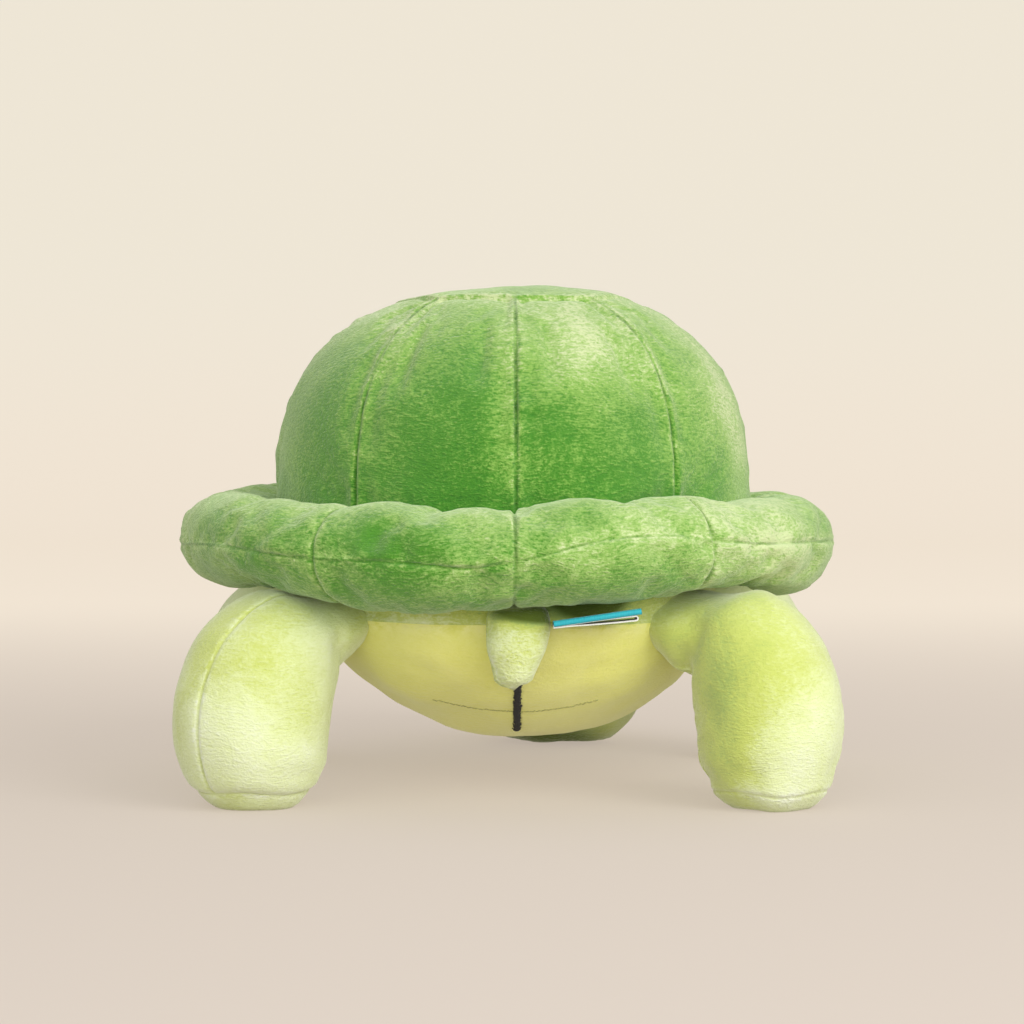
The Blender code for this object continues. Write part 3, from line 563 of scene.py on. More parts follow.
def simulated(name, grid, hand, loop, pinned):
    """The grid after its cloth, held at the pinned points, is pushed out from inside."""
    cloth = sizes("turtle_cloth")
    piece, used = grid_object(name, grid, hand, loop)
    held = piece.vertex_groups.new(name="held")
    held.add(np.flatnonzero(pinned.reshape(-1)[used]).tolist(), 1.0, "REPLACE")
    made = piece.modifiers.new("stuffing", "CLOTH")
    made.settings.vertex_group_mass = held.name
    made.settings.use_pressure = True
    made.settings.uniform_pressure_force = cloth.pressure
    made.settings.shrink_min = -cloth.slack
    made.settings.effector_weights.gravity = 0.0
    made.settings.quality = 6
    made.collision_settings.use_collision = False
    made.point_cache.frame_start = 1
    made.point_cache.frame_end = cloth.frames
    for step in range(1, cloth.frames + 1):
        bpy.context.scene.frame_set(step)
    posed = piece.evaluated_get(bpy.context.evaluated_depsgraph_get())
    points = np.empty(len(posed.data.vertices) * 3)
    posed.data.vertices.foreach_get("co", points)
    bpy.data.objects.remove(piece)
    bpy.context.scene.frame_set(1)
    result = grid.reshape(-1, 3).copy()
    result[used] = points.reshape(-1, 3)
    result = result.reshape(grid.shape)
    for end in (0, -1):
        if closed_end(grid, end, loop):
            result[end] = result[end, 0]
    return result


def spline_weights(knots, wanted, wrap):
    """Four neighbours of each wanted share among the knots, and their smooth weights."""
    count = len(knots)
    if wrap:
        wanted = np.where(wanted < knots[0], wanted + 1, wanted)
    base = np.searchsorted(knots, wanted, "right") - 1
    after = knots[(base + 1) % count] + (((base + 1) >= count) if wrap else 0)
    base = base if wrap else np.clip(base, 0, count - 2)
    if not wrap:
        after = knots[base + 1]
    t = (wanted - knots[base]) / np.maximum(after - knots[base], 1e-9)
    weights = np.stack(
        [
            -t / 2 + t**2 - t**3 / 2,
            1 - 2.5 * t**2 + 1.5 * t**3,
            t / 2 + 2 * t**2 - 1.5 * t**3,
            -(t**2) / 2 + t**3 / 2,
        ],
        -1,
    )
    near = base[:, None] + np.arange(-1, 3)
    near = near % count if wrap else np.clip(near, 0, count - 1)
    return near, weights


def resampled(field, knots, wanted, axis, wrap):
    near, weights = spline_weights(knots, wanted, wrap)
    moved = np.moveaxis(field, axis, 0)
    return np.moveaxis(np.einsum("nk,nk...->n...", weights, moved[near]), 0, axis)


@dataclass
class SewnForm:
    """A stuffed form. Its surface gives points for shares along (rows) and round (columns), reach and girth
    are about how long it is along and round, and hand is 1 or -1 so that its normals point out.
    Column seams are (share round, first share along, last share along), row seams are shares along.
    Held rows lie between two shares along."""

    surface: Callable
    reach: float
    girth: float
    hand: int
    column_seams: tuple = ()
    row_seams: tuple = ()
    loop: bool = False
    held: tuple = ()
    inset: float = 1.0
    row_depth: float = 0.5
    row_shade: float = 0.75

    def grid(self, step, beside):
        columns = sorted({seam[0] for seam in self.column_seams})
        rows = grid_lines(step, self.reach, self.row_seams, self.loop, beside)
        return rows, grid_lines(step, self.girth, columns, True, beside)

    def stuffed(self, name):
        """Shares of the coarse cloth's lines, and how far the stuffing moves each of its points."""
        cloth = sizes("turtle_cloth")
        rows, columns = self.grid(cloth.thread_step, ())
        base = self.surface(rows, columns)
        out = normals_of(base, self.hand, self.loop)
        pinned = np.zeros(base.shape[:2], bool)
        for share_round, first, last in self.column_seams:
            on_it = np.argmin(np.abs(columns - share_round))
            pinned[from_to(rows, first, last), on_it] = True
        for seam in self.row_seams:
            pinned[np.argmin(np.abs(rows - seam))] = True
        for first, last in self.held:
            pinned[from_to(rows, first, last)] = True
        start = base - out * cloth.inset * self.inset * (~pinned)[..., None]
        moved = simulated(name, start, self.hand, self.loop, pinned) - start
        size = np.linalg.norm(moved, axis=-1, keepdims=True)
        moved *= cloth.swell * np.tanh(size / cloth.swell) / np.maximum(size, 1e-9)
        return rows, columns, start + moved - base

    def seam_fields(self, rows, columns, grid, seed):
        """How far each point lies in a seam's shade, beside a seam and down in its valley, all from 0 to 1,
        and the puckers there."""
        cloth = sizes("turtle_cloth")
        deep, near, cut, pucker = np.zeros((4, *grid.shape[:2]))

        def sew(line, place, side, wave_seed, within=1.0, depth=1.0, shade=1.0):
            """One seam: its line, places along it, and the side of it that each point lies on."""
            away = np.linalg.norm(grid - line, axis=-1)
            place = np.stack(np.broadcast_arrays(*place, side * cloth.pucker_pitch * 9), -1)
            wave = ripples(place, cloth.pucker_pitch, wave_seed)
            valley = within * np.exp(-((away / cloth.seam_width) ** 2))
            np.maximum(deep, shade * valley, out=deep)
            np.maximum(cut, depth * valley, out=cut)
            np.maximum(near, within * np.exp(-((away / cloth.ruffle) ** 2)), out=near)
            pucker[:] += depth * within * wave * np.exp(-away / cloth.pucker_reach)

        for number, (share_round, first, last) in enumerate(self.column_seams):
            line = self.surface(rows, np.array([share_round]))
            side = np.sign((columns - share_round + 0.5) % 1 - 0.5)[None]
            within = from_to(rows, first, last).astype(float)[:, None]
            sew(line, (run_along(line[:, 0])[:, None],), side, seed + number, within)
        for number, seam in enumerate(self.row_seams):
            line = self.surface(np.array([seam]), columns)
            run = run_along(line[0])
            turn = TAU * run / (run[-1] + np.linalg.norm(line[0, 0] - line[0, -1]))
            ring = run[-1] / TAU
            place = (ring * np.cos(turn)[None], ring * np.sin(turn)[None])
            side = np.sign(rows - seam)[:, None]
            sew(line, place, side, seed + 50 + number, 1.0, self.row_depth, self.row_shade)
        return deep, near, cut, pucker

    def sewn(
        self, name, seed, nap=None, lumps=0.0008, lump_size=0.028, rows_kept=(0.0, 1.0), relief=None, sink=1.0
    ):
        """The finished object of the form, or of the rows between two shares of the way along."""
        cloth = sizes("turtle_cloth")
        beside = tuple(cloth.seam_width * k for k in BESIDE_SEAM)
        rows, columns = self.grid(cloth.fine_step, beside)
        base = self.surface(rows, columns)
        out = normals_of(base, self.hand, self.loop)
        coarse_rows, coarse_columns, moved = self.stuffed(name)
        moved = resampled(moved, coarse_rows, rows, 0, self.loop)
        moved = resampled(moved, coarse_columns, columns, 1, True)
        deep, near, cut, pucker = self.seam_fields(rows, columns, base, seed)
        push = -cloth.seam_depth * sink * cut + cloth.pucker * sink * pucker * (1 - deep)
        push += lumps * ripples(base, lump_size, seed + 90) * (1 - deep)
        push += lumps * 0.35 * ripples(base, lump_size / 3, seed + 91) * (1 - deep)
        if relief is not None:
            push += relief(base)
        grid = base + moved + out * push[..., None]
        for end in (0, -1):
            if closed_end(base, end, self.loop):
                grid[end] = grid[end].mean(0)
        kept = from_to(rows, *rows_kept)
        made, used = grid_object(name, grid[kept], self.hand, self.loop)
        tone = np.zeros(grid.shape[:2]) if nap is None else nap(rows, columns)
        for label, values in (("seam", deep), ("ruffle", near), ("tone", tone)):
            attribute = made.data.attributes.new(label, "FLOAT", "POINT")
            attribute.data.foreach_set("value", values[kept].reshape(-1)[used].astype(np.float32))
        return made


def strokes(tone_shares, turn_deg=0.0):
    """The tone that the listed strokes give at shares along and round: the nap, and painted light and shade.
    """

    def tone(rows, columns):
        total = np.zeros((len(rows), len(columns)))
        for angle, up, spread, rise, value in tone_shares:
            away = (columns * 360 - angle - turn_deg + 180) % 360 - 180
            along = np.exp(-(((rows - up) / rise) ** 2))[:, None]
            total += value * np.exp(-((away / spread) ** 2))[None] * along
        return total

    return tone


# Materials


class Graph:
    """A node tree of a new material or of the world, with sockets filled by name from numbers or sockets."""

    def __init__(self, name, world=None):
        self.material = world or bpy.data.materials.new(name)
        self.material.use_nodes = True
        self.tree = self.material.node_tree
        self.shader = self.tree.nodes["Background" if world else "Principled BSDF"]

    def fill(self, node, values):
        for key, value in values.items():
            socket = node.inputs[key]
            if isinstance(value, bpy.types.NodeSocket):
                self.tree.links.new(value, socket)
            else:
                socket.default_value = value

    def add(self, kind, values, **settings):
        node = self.tree.nodes.new(f"ShaderNode{kind}")
        for key, value in settings.items():
            setattr(node, key, value)
        self.fill(node, values)
        return node

    def place(self):
        return self.add("TexCoord", {}).outputs["Object"]

    def field(self, name):
        return self.add("Attribute", {}, attribute_name=name).outputs["Fac"]

    def math(self, operation, *values):
        return self.add("Math", dict(enumerate(values)), operation=operation).outputs[0]

    def noise(self, place, scale, detail=2.0, roughness=0.5, distortion=0.0, output="Fac"):
        values = {"Vector": place, "Scale": scale, "Detail": detail, "Roughness": roughness}
        values["Distortion"] = distortion
        return self.add("TexNoise", values).outputs[output]

    def mix(self, share_socket, first, second, blend="MIX"):
        node = self.add("Mix", {}, data_type="RGBA", blend_type=blend)
        self.fill(node, {0: share_socket, 6: first, 7: second})
        return node.outputs[2]

    def spread(self, value, low, high):
        """The value set out smoothly between 0 at low and 1 at high."""
        values = {"Value": value, "From Min": low, "From Max": high}
        return self.add("MapRange", values, interpolation_type="SMOOTHSTEP").outputs["Result"]

    def moved(self, place, way, reach):
        """Places moved along a way as far as the reach."""
        way = self.add("VectorMath", {0: way, "Scale": reach}, operation="SCALE").outputs[0]
        return self.add("VectorMath", {0: place, 1: way}, operation="ADD").outputs[0]

    def seen(self):
        """1 where the camera looks, also by way of gloss or glass, and 0 for light that falls on things."""
        ray = self.add("LightPath", {}).outputs
        total = self.math("ADD", ray["Is Camera Ray"], ray["Is Glossy Ray"])
        return self.math("MINIMUM", self.math("ADD", total, ray["Is Transmission Ray"]), 1.0)

    def bump(self, height, distance, strength, below=None):
        values = {"Height": height, "Distance": distance, "Strength": strength}
        if below is not None:
            values["Normal"] = below
        return self.add("Bump", values).outputs["Normal"]


def rgba(shade, tint=1.0):
    """A socket's colour: a shade times a tint, which is one number or three."""
    tint = tint if isinstance(tint, tuple) else (tint, tint, tint)
    return (*(c * t for c, t in zip(shade, tint)), 1.0)


def shades(cloth_name):
    """The dark, light and pale nap of a cloth."""
    return [getattr(sizes("turtle_cloth"), f"{cloth_name}_{nap}") for nap in ("dark", "light", "pale")]


def velour(name, dark, light, pale, patch=0.035, contrast=0.62, offset=0.0, weave=1.0, valley=0.42):
    """Short-pile plush: cloudy patches where the nap was brushed, wavy fibres, tufts and a valley along the
    seams. Painted sheen turns the colour pale where the tone runs high and towards grazing edges, and painted
    shade darkens it where the tone runs far below zero. Weave is how strong the fibres look, valley how dark
    the seams are."""
    graph = Graph(name)
    place = graph.place()
    warp = graph.noise(place, 0.6 / patch, 2.0, 0.5, 0.0, "Color")
    warp = graph.add("VectorMath", {0: warp, 1: (0.5, 0.5, 0.5)}, operation="SUBTRACT").outputs[0]
    clouded = graph.moved(place, warp, patch * 1.4)
    combed = graph.moved(place, warp, patch * 0.5)
    clouds = graph.noise(clouded, 1 / patch, 3.0, 0.55, 0.3)
    small = graph.noise(clouded, 4.5 / patch, 2.0, 0.6, 0.6)
    tone = graph.field("tone")
    seam = graph.field("seam")
    nap = graph.math("MULTIPLY_ADD", clouds, 2.4 * contrast, 0.5 - 1.2 * contrast + offset)
    nap = graph.math("MULTIPLY_ADD", small, 0.30 * contrast, nap)
    nap = graph.math("SUBTRACT", nap, 0.15 * contrast)
    nap = graph.math("MULTIPLY_ADD", tone, 0.5, nap)
    ruffle = graph.field("ruffle")
    ruffle = graph.math("MULTIPLY", ruffle, graph.spread(seam, 0.7, 0.3))
    tufts = graph.math("SUBTRACT", graph.noise(place, 150.0, 3.0, 0.7, 0.5), 0.42)
    nap = graph.math("MULTIPLY_ADD", graph.math("MULTIPLY", ruffle, tufts), 3.2, nap)
    stretched = graph.add("Mapping", {"Vector": combed, "Scale": (1.0, 1.0, 3.0)}).outputs[0]
    fibre = graph.noise(stretched, 360.0, 2.0, 0.6, 0.3)
    pile = graph.noise(place, 1000.0, 1.0, 0.5, 0.3)
    grain = graph.math("MULTIPLY_ADD", fibre, 0.68, graph.math("MULTIPLY", pile, 0.32))
    nap = graph.math("MULTIPLY_ADD", graph.math("SUBTRACT", grain, 0.5), 2.3 * weave, nap)
    base = graph.mix(graph.spread(nap, 0.0, 1.0), rgba(dark), rgba(light))
    away = graph.math("MULTIPLY", graph.spread(nap, 0.15, -0.75), 0.6)
    base = graph.mix(away, base, rgba(dark, AWAY_TINT))
    # Painted sheen: the colour turns pale where the tone runs high and towards grazing edges
    grazing = graph.add("LayerWeight", {"Blend": 0.32}).outputs["Facing"]
    painted_sheen = graph.math("MULTIPLY_ADD", grazing, 0.35, graph.spread(nap, 0.75, 1.75))
    base = graph.mix(graph.math("MINIMUM", painted_sheen, 1.0), base, rgba(pale))
    # Painted shade: where the tone runs far below zero the colour turns dark toward the shade tint
    painted_shade = graph.math("MULTIPLY", graph.spread(tone, -1.0, -2.6), 0.95)
    base = graph.mix(painted_shade, base, rgba(dark, PAINTED_SHADE_TINT))
    gaps = graph.math("MULTIPLY_ADD", graph.spread(graph.noise(place, 60.0, 1.0), 0.4, 0.6), 0.55, 0.1)
    broken = graph.math("MULTIPLY_ADD", graph.spread(graph.noise(place, 420.0, 1.0), 0.3, 0.62), 0.6, 0.4)
    deep = graph.math("MULTIPLY", graph.spread(seam, 0.35, 1.0), graph.math("MULTIPLY", gaps, broken))
    base = graph.mix(deep, base, rgba(dark, valley))
    height = graph.bump(grain, 0.0013, 0.4 + 0.45 * weave)
    height = graph.bump(clouds, 0.004, 0.25, height)
    graph.fill(
        graph.shader,
        {
            "Base Color": base,
            "Normal": height,
            "Roughness": 0.92,
            "Specular IOR Level": 0.12,
            "Sheen Weight": 0.8,
            "Sheen Roughness": 0.42,
            "Sheen Tint": rgba(tuple(0.45 + 0.55 * c for c in light)),
        },
    )
    return graph.material


def smooth_plastic(name, shade, roughness, coat=0.0):
    graph = Graph(name)
    place = graph.place()
    marks = graph.noise(place, 900.0, 2.0)
    base = graph.mix(graph.spread(marks, 0.3, 0.7), rgba(shade), rgba(shade, 1.25))
    values = {"Base Color": base, "Roughness": roughness, "Coat Weight": coat, "Coat Roughness": 0.05}
    values["Normal"] = graph.bump(marks, 0.00005, 0.2)
    graph.fill(graph.shader, values)
    return graph.material


def ribbon_cloth(name, shade, pitch=0.0007, roughness=0.6):
    """Woven ribbon: ribs across, and threads that vary a little."""
    graph = Graph(name)
    place = graph.place()
    wave = {"Vector": place, "Scale": TAU / 20 / pitch, "Distortion": 0.4}
    ribs = graph.add("TexWave", wave).outputs["Fac"]
    wear = graph.noise(place, 240.0, 3.0)
    worn = graph.math("MULTIPLY_ADD", ribs, 0.5, graph.math("MULTIPLY", wear, 0.5))
    base = graph.mix(worn, rgba(shade, 0.72), rgba(shade))
    values = {"Base Color": base, "Roughness": roughness, "Normal": graph.bump(ribs, 0.0002, 0.5)}
    values["Sheen Weight"] = 0.2
    graph.fill(graph.shader, values)
    return graph.material


def thread_cloth(name, shade):
    graph = Graph(name)
    place = graph.place()
    twist = graph.noise(place, 2600.0, 2.0, 0.6, 1.0)
    base = graph.mix(twist, rgba(shade, 0.5), rgba(shade, 1.8))
    values = {"Base Color": base, "Roughness": 0.7, "Sheen Weight": 0.15}
    values["Normal"] = graph.bump(twist, 0.0002, 0.6)
    graph.fill(graph.shader, values)
    return graph.material


def dress(piece, material):
    piece.data.materials.clear()
    piece.data.materials.append(material)


# The shell


def brim_z(angle):
    shell = sizes("turtle_shell")
    return shell.brim_height - shell.brim_tilt * np.cos(angle)


def brim_section():
    """The brim's middle radius, and the angle of its section at which it meets the dome."""
    shell = sizes("turtle_shell")
    middle = shell.dome_radius + shell.brim_overhang - shell.brim_half_width
    return middle, math.acos((shell.dome_radius - middle) / shell.brim_half_width)


def around(angle, radius, height):
    """Points round the shell's middle, as an array of rows by columns."""
    x, y, z = np.broadcast_arrays(radius * np.sin(angle), -radius * np.cos(angle), height)
    return np.stack([x + SHELL_MIDDLE.x, y + SHELL_MIDDLE.y, z], -1)


def crown_edge(angle):
    """The crown panel's radius: it has a corner at each gore seam."""
    shell = sizes("turtle_shell")
    seams = np.radians([*GORE_SEAMS_DEG, 360])
    nearest = np.clip(np.searchsorted(seams, angle % TAU, "right"), 1, len(seams) - 1)
    first, last = seams[nearest - 1], seams[nearest]
    return shell.crown_radius * np.cos((last - first) / 2) / np.cos(angle % TAU - (first + last) / 2)


def dome_height(radius):
    shell = sizes("turtle_shell")
    power = shell.dome_roundness
    across = np.clip(radius / shell.dome_radius, 0, 1)
    return shell.dome_waist + shell.dome_rise * (1 - across**power) ** (1 / power)


def dome_radius(height):
    shell = sizes("turtle_shell")
    power = shell.dome_roundness
    above = np.clip((height - shell.dome_waist) / shell.dome_rise, 0, 1)
    return shell.dome_radius * (1 - above**power) ** (1 / power)


# Where the crown's edge lies along the dome, how far up the brim its foot is, and how its rows close up
GORE_SHARE = 0.68
FOOT_SHARE = 0.45
ROW_POWER = 1.5


def dome_surface(rows, columns):
    """The dome from inside the brim up to the crown panel's edge, and over the crown to its middle."""
    shell = sizes("turtle_shell")
    angle = columns[None] * TAU
    rows = rows[:, None]
    crown = crown_edge(angle)
    low = brim_z(angle) + shell.brim_half_height * FOOT_SHARE
    up = np.clip(rows / GORE_SHARE, 0, 1)
    height = low + (dome_height(crown) - low) * (1 - (1 - up) ** ROW_POWER)
    on_crown = rows > GORE_SHARE
    inward = crown * np.clip((1 - rows) / (1 - GORE_SHARE), 0, 1)
    radius = np.where(on_crown, inward, dome_radius(height))
    height = np.where(on_crown, dome_height(inward), height)
    return around(angle, radius, height) + np.array([shell.dome_shift, 0.0, 0.0])


def leg_lift(angle):
    """How far the legs push the brim's underside up at an angle."""
    shell = sizes("turtle_shell")
    limbs = sizes("turtle_limbs")
    total = np.zeros_like(angle)
    for leg in LEG_STANDS:
        hip, out = leg_place(leg)
        foot = hip + out * getattr(limbs, leg.split("_")[0] + "_reach") - SHELL_MIDDLE
        away = (angle - math.atan2(foot.x, -foot.y) + math.pi) % TAU - math.pi
        total += np.exp(-((away / shell.lift_spread) ** 2))
    return shell.leg_lift * total


# Where the brim's section meets the dome again, along it
OUTER_SHARE = 0.84
# How much flatter the brim's right side is than its left
RIGHT_FLATTER = 0.25


def round_table(table, column, angle):
    """Smooth values of a column of a table whose first column holds degrees round the shell."""
    table = np.array(table, float)
    shares = np.mod(angle / TAU, 1).reshape(-1)
    knots = table[:, 0] / 360
    # Shares before the table's first row count on from its last one
    shares = np.where(shares < knots[0], shares + 1, shares)
    wide = np.concatenate([knots[-2:] - 1, knots, knots[:2] + 1])
    values = np.concatenate([table[-2:, column], table[:, column], table[:2, column]])
    return resampled(values, wide, shares, 0, False).reshape(angle.shape)


def brim_surface(rows, columns):
    """The brim's section once round: from the dome over the top, out, under and back up inside."""
    shell = sizes("turtle_shell")
    middle, seat = brim_section()
    angle = columns[None] * TAU
    rows = rows[:, None]
    turn = np.where(
        rows <= OUTER_SHARE,
        seat * (1 - 2 * rows / OUTER_SHARE),
        -seat - (TAU - 2 * seat) * (rows - OUTER_SHARE) / (1 - OUTER_SHARE),
    )
    seam_turn = np.radians(round_table(OUTER_SEAM_DEG, 1, angle))
    turn = turn + seam_turn * np.clip(1 - (1 - 2 * rows / OUTER_SHARE) ** 2, 0, 1)
    rise = shell.brim_half_height * np.sin(turn)
    flat = shell.brim_flat * np.sin(angle) ** 2 * (1 + RIGHT_FLATTER * np.sin(angle))
    flat = flat + shell.brim_dip * np.exp(-(((angle - shell.dip_place) / shell.dip_spread) ** 2))
    crest = 1 - flat + round_table(BRIM_PUFF_SHARES, 1, angle)
    fuller = shell.brim_half_height * round_table(BRIM_PUFF_SHARES, 2, angle)
    rise = np.where(rise < 0, rise + (leg_lift(angle) - fuller) * np.sin(turn) ** 2, rise * crest)
    return around(angle, middle + shell.brim_half_width * np.cos(turn), brim_z(angle) + rise)


class TURTLE_OT_shell(bpy.types.Operator):
    """Sew the dome of the shell from its gores and crown panel"""

    bl_idname = "turtle.shell"
    bl_label = "Shell Dome"

    def execute(self, context):
        form = SewnForm(
            dome_surface,
            reach=0.26,
            girth=0.72,
            hand=1,
            column_seams=[(angle / 360, 0.0, GORE_SHARE) for angle in GORE_SEAMS_DEG],
            row_seams=(GORE_SHARE,),
            held=((0.0, 0.04),),
            inset=1.5,
            row_depth=0.3,
            row_shade=0.3,
        )
        dome = form.sewn("shell_dome", 11, strokes(DOME_NAP_AND_PAINTED_LIGHT_SHARES), lumps=0.0009, lump_size=0.04)
        dress(dome, velour("shell_green_velour", *shades("dome"), patch=0.04, weave=1.2))
        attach(dome, "body")
        gores = [f"shell_gore_{number + 1}" for number in range(len(GORE_SEAMS_DEG))]
        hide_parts("shell_crown_panel", "shell_stuffing", *gores)
        return {"FINISHED"}


class TURTLE_OT_brim(bpy.types.Operator):
    """Sew the puffed brim round the shell"""

    bl_idname = "turtle.brim"
    bl_label = "Shell Brim"

    def execute(self, context):
        form = SewnForm(
            brim_surface,
            reach=0.15,
            girth=0.9,
            hand=-1,
            column_seams=[(angle / 360, 0.0, OUTER_SHARE) for angle in BRIM_SEAMS_DEG],
            row_seams=(OUTER_SHARE / 2,),
            loop=True,
            held=((OUTER_SHARE, 1.0), (0.0, 0.02)),
            inset=0.1,
            row_depth=0.35,
            row_shade=0.8,
        )
        brim = form.sewn("shell_brim", 23, strokes(BRIM_NAP_AND_PAINTED_LIGHT_SHARES), lumps=0.0011, lump_size=0.034)
        dress(brim, velour("brim_green_velour", *shades("brim"), patch=0.026, weave=1.2))
        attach(brim, "body")
        numbers = range(1, len(BRIM_SEAMS_DEG) + 1)
        panels = [f"brim_{side}_{number}" for side in ("upper", "lower") for number in numbers]
        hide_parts("brim_stuffing", *panels)
        return {"FINISHED"}


# The body


def body_outline(angle):
    """The body's outline in plan about the shell's middle, as x and y."""
    body = sizes("turtle_body")
    power = 2 / body.roundness
    c, s = np.cos(angle), np.sin(angle)
    reach = np.where(s > 0, body.front, body.back)
    return body.half_width * np.sign(c) * np.abs(c) ** power, reach * np.sign(s) * np.abs(s) ** power


def bowl_share(height):
    body = sizes("turtle_body")
    below = np.clip((body.waist - height) / (body.waist - body.bottom), 0, 1)
    return (1 - below**body.bowl_roundness) ** (1 / body.bowl_roundness)


# Where the seam between band and belly lies along the body
BAND_SHARE = 0.16


def body_surface(rows, columns):
    """The body from under the shell's lining down to the belly's lowest point."""
    body = sizes("turtle_body")
    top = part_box("body_band")[1].z
    rows = rows[:, None]
    x, y = body_outline(columns[None] * TAU + TAU / 4)
    deep = body.waist - body.bottom
    power = 2 / body.bowl_roundness
    first = math.asin(((body.waist - body.belly_seam) / deep) ** (1 / power))
    turn = first + (TAU / 4 - first) * np.clip((rows - BAND_SHARE) / (1 - BAND_SHARE), 0, 1)
    on_band = rows < BAND_SHARE
    band_height = top + (body.belly_seam - top) * rows / BAND_SHARE
    height = np.where(on_band, band_height, body.waist - deep * np.sin(turn) ** power)
    wide = np.where(on_band, bowl_share(height), np.maximum(np.cos(turn), 0.0) ** power)
    wide = np.where(rows >= 1, 0.0, wide)
    lean = body.lean * (top - height) / (top - body.bottom)
    x, y, z = np.broadcast_arrays(x * wide + lean, y * wide, height)
    left = (np.sqrt(x**2 + body.lean**2) - x) / 2
    z = z + body.left_lift * left * np.clip((body.waist - z) / deep, 0, 1)
    return np.stack([x + SHELL_MIDDLE.x, y + SHELL_MIDDLE.y, z], -1)


class TURTLE_OT_body(bpy.types.Operator):
    """Sew the body: the pale band and the yellow belly"""

    bl_idname = "turtle.body"
    bl_label = "Body"

    def execute(self, context):
        form = SewnForm(
            body_surface,
            reach=0.14,
            girth=0.66,
            hand=-1,
            row_seams=(BAND_SHARE,),
            held=((0.0, 0.02),),
            row_shade=0.5,
        )
        nap = strokes(BAND_PAINTED_SHADE_SHARES)
        band = form.sewn("body_band_cloth", 31, nap, rows_kept=(0.0, BAND_SHARE), sink=0.6)
        belly = form.sewn("belly_cloth", 31, rows_kept=(BAND_SHARE, 1.0), sink=0.6)
        # The band's velour is set darker all over by its offset: painted shade under the brim
        green = velour("pale_green_band_velour", *shades("pale"), patch=0.03, offset=-0.25, valley=0.7)
        yellow = velour(
            "belly_yellow_velour", *shades("belly"), patch=0.05, contrast=0.4, weave=0.25, valley=0.7
        )
        dress(band, green)
        dress(belly, yellow)
        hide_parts("body_band")
        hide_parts("belly_panel", "body_stuffing")
        for piece in (band, belly):
            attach(piece, "body")
        return {"FINISHED"}


# Legs, head and tail: forms given by a few rings


def ring_form(rings, keys):
    """A function of shares along that gives smooth values of the rings' numbers."""
    rings = np.array(rings, float)
    keys = np.array(keys, float)

    def values(rows):
        return resampled(rings, keys, rows, 0, False)

    return values


def ring_keys(points):
    """Shares along for rings whose middles are given, and how long the line through them is."""
    run = run_along(points)
    return run / run[-1], run[-1]


def leg_rings(top, reach, slim):
    """Rings of a leg lying out along +X from its hip: inner x and z, outer x and z, half depth.
    Slim is how wide the leg is beside a leg of full width."""
    limbs = sizes("turtle_limbs")
    hip_z = HIP_HEIGHT_SHARE * top
    rings = [(-HIP_CAP_SHARE * limbs.hip_cap, hip_z, -HIP_CAP_SHARE * limbs.hip_cap, hip_z, 0.0)]
    for shares in ROOT_RING_SHARES:
        x, low, high, depth = (part * limbs.hip_cap for part in shares)
        rings.append((x, hip_z - low, x, hip_z + high, depth))
    half = limbs.leg_half_width * slim
    for in_x, in_z, out_x, out_z, depth in LEG_RING_SHARES:
        rings.append((reach + in_x * half, in_z * top, reach + out_x * half, out_z * top, depth * half))
    sole = limbs.sole_half_width
    edge = sole - limbs.sole_taper
    flat = edge - limbs.sole_inset
    for wide, height in ((sole, limbs.sole_seam), (edge, limbs.sole_edge), (flat, 0.0), (flat / 2, 0.0)):
        rings.append((reach - wide, height, reach + wide, height, wide))
    rings.append((reach, 0.0, reach, 0.0, 0.0))
    return rings


def leg_surface(top, reach, slim, hip, out):
    """The surface of a leg in place, its length, and the shares along of its ankle and its sole seam."""
    limbs = sizes("turtle_limbs")
    rings = leg_rings(top, reach, slim)
    middles = [((a + c) / 2 + DEPTH_SHARE * e, (b + d) / 2) for a, b, c, d, e in rings]
    keys, run = ring_keys(middles)
    values = ring_form(rings, keys)
    across = np.array([-out.y, out.x, 0.0])
    ahead = np.array([out.x, out.y, 0.0])
    start = np.array([hip.x, hip.y, 0.0])

    def surface(rows, columns):
        inner_x, inner_z, outer_x, outer_z, depth = (v[:, None] for v in values(rows).T)
        turn = columns[None] * TAU
        x = (inner_x + outer_x) / 2 + (outer_x - inner_x) / 2 * np.cos(turn)
        z = (inner_z + outer_z) / 2 + (outer_z - inner_z) / 2 * np.cos(turn)
        y = depth * np.sin(turn)
        wander = np.sin(3 * turn + hip.x * 90) + 0.6 * np.sin(5 * turn + hip.y * 90)
        from_seam = (rows[:, None] - keys[-5]) / WANDER_SPREAD_SHARE
        z = z + limbs.sole_wander * wander * np.exp(-(from_seam**2))
        z = np.maximum(z, 0.0)
        return start + x[..., None] * ahead + y[..., None] * across + z[..., None] * np.array([0.0, 0.0, 1.0])

    return surface, run, keys[-6], keys[-5]


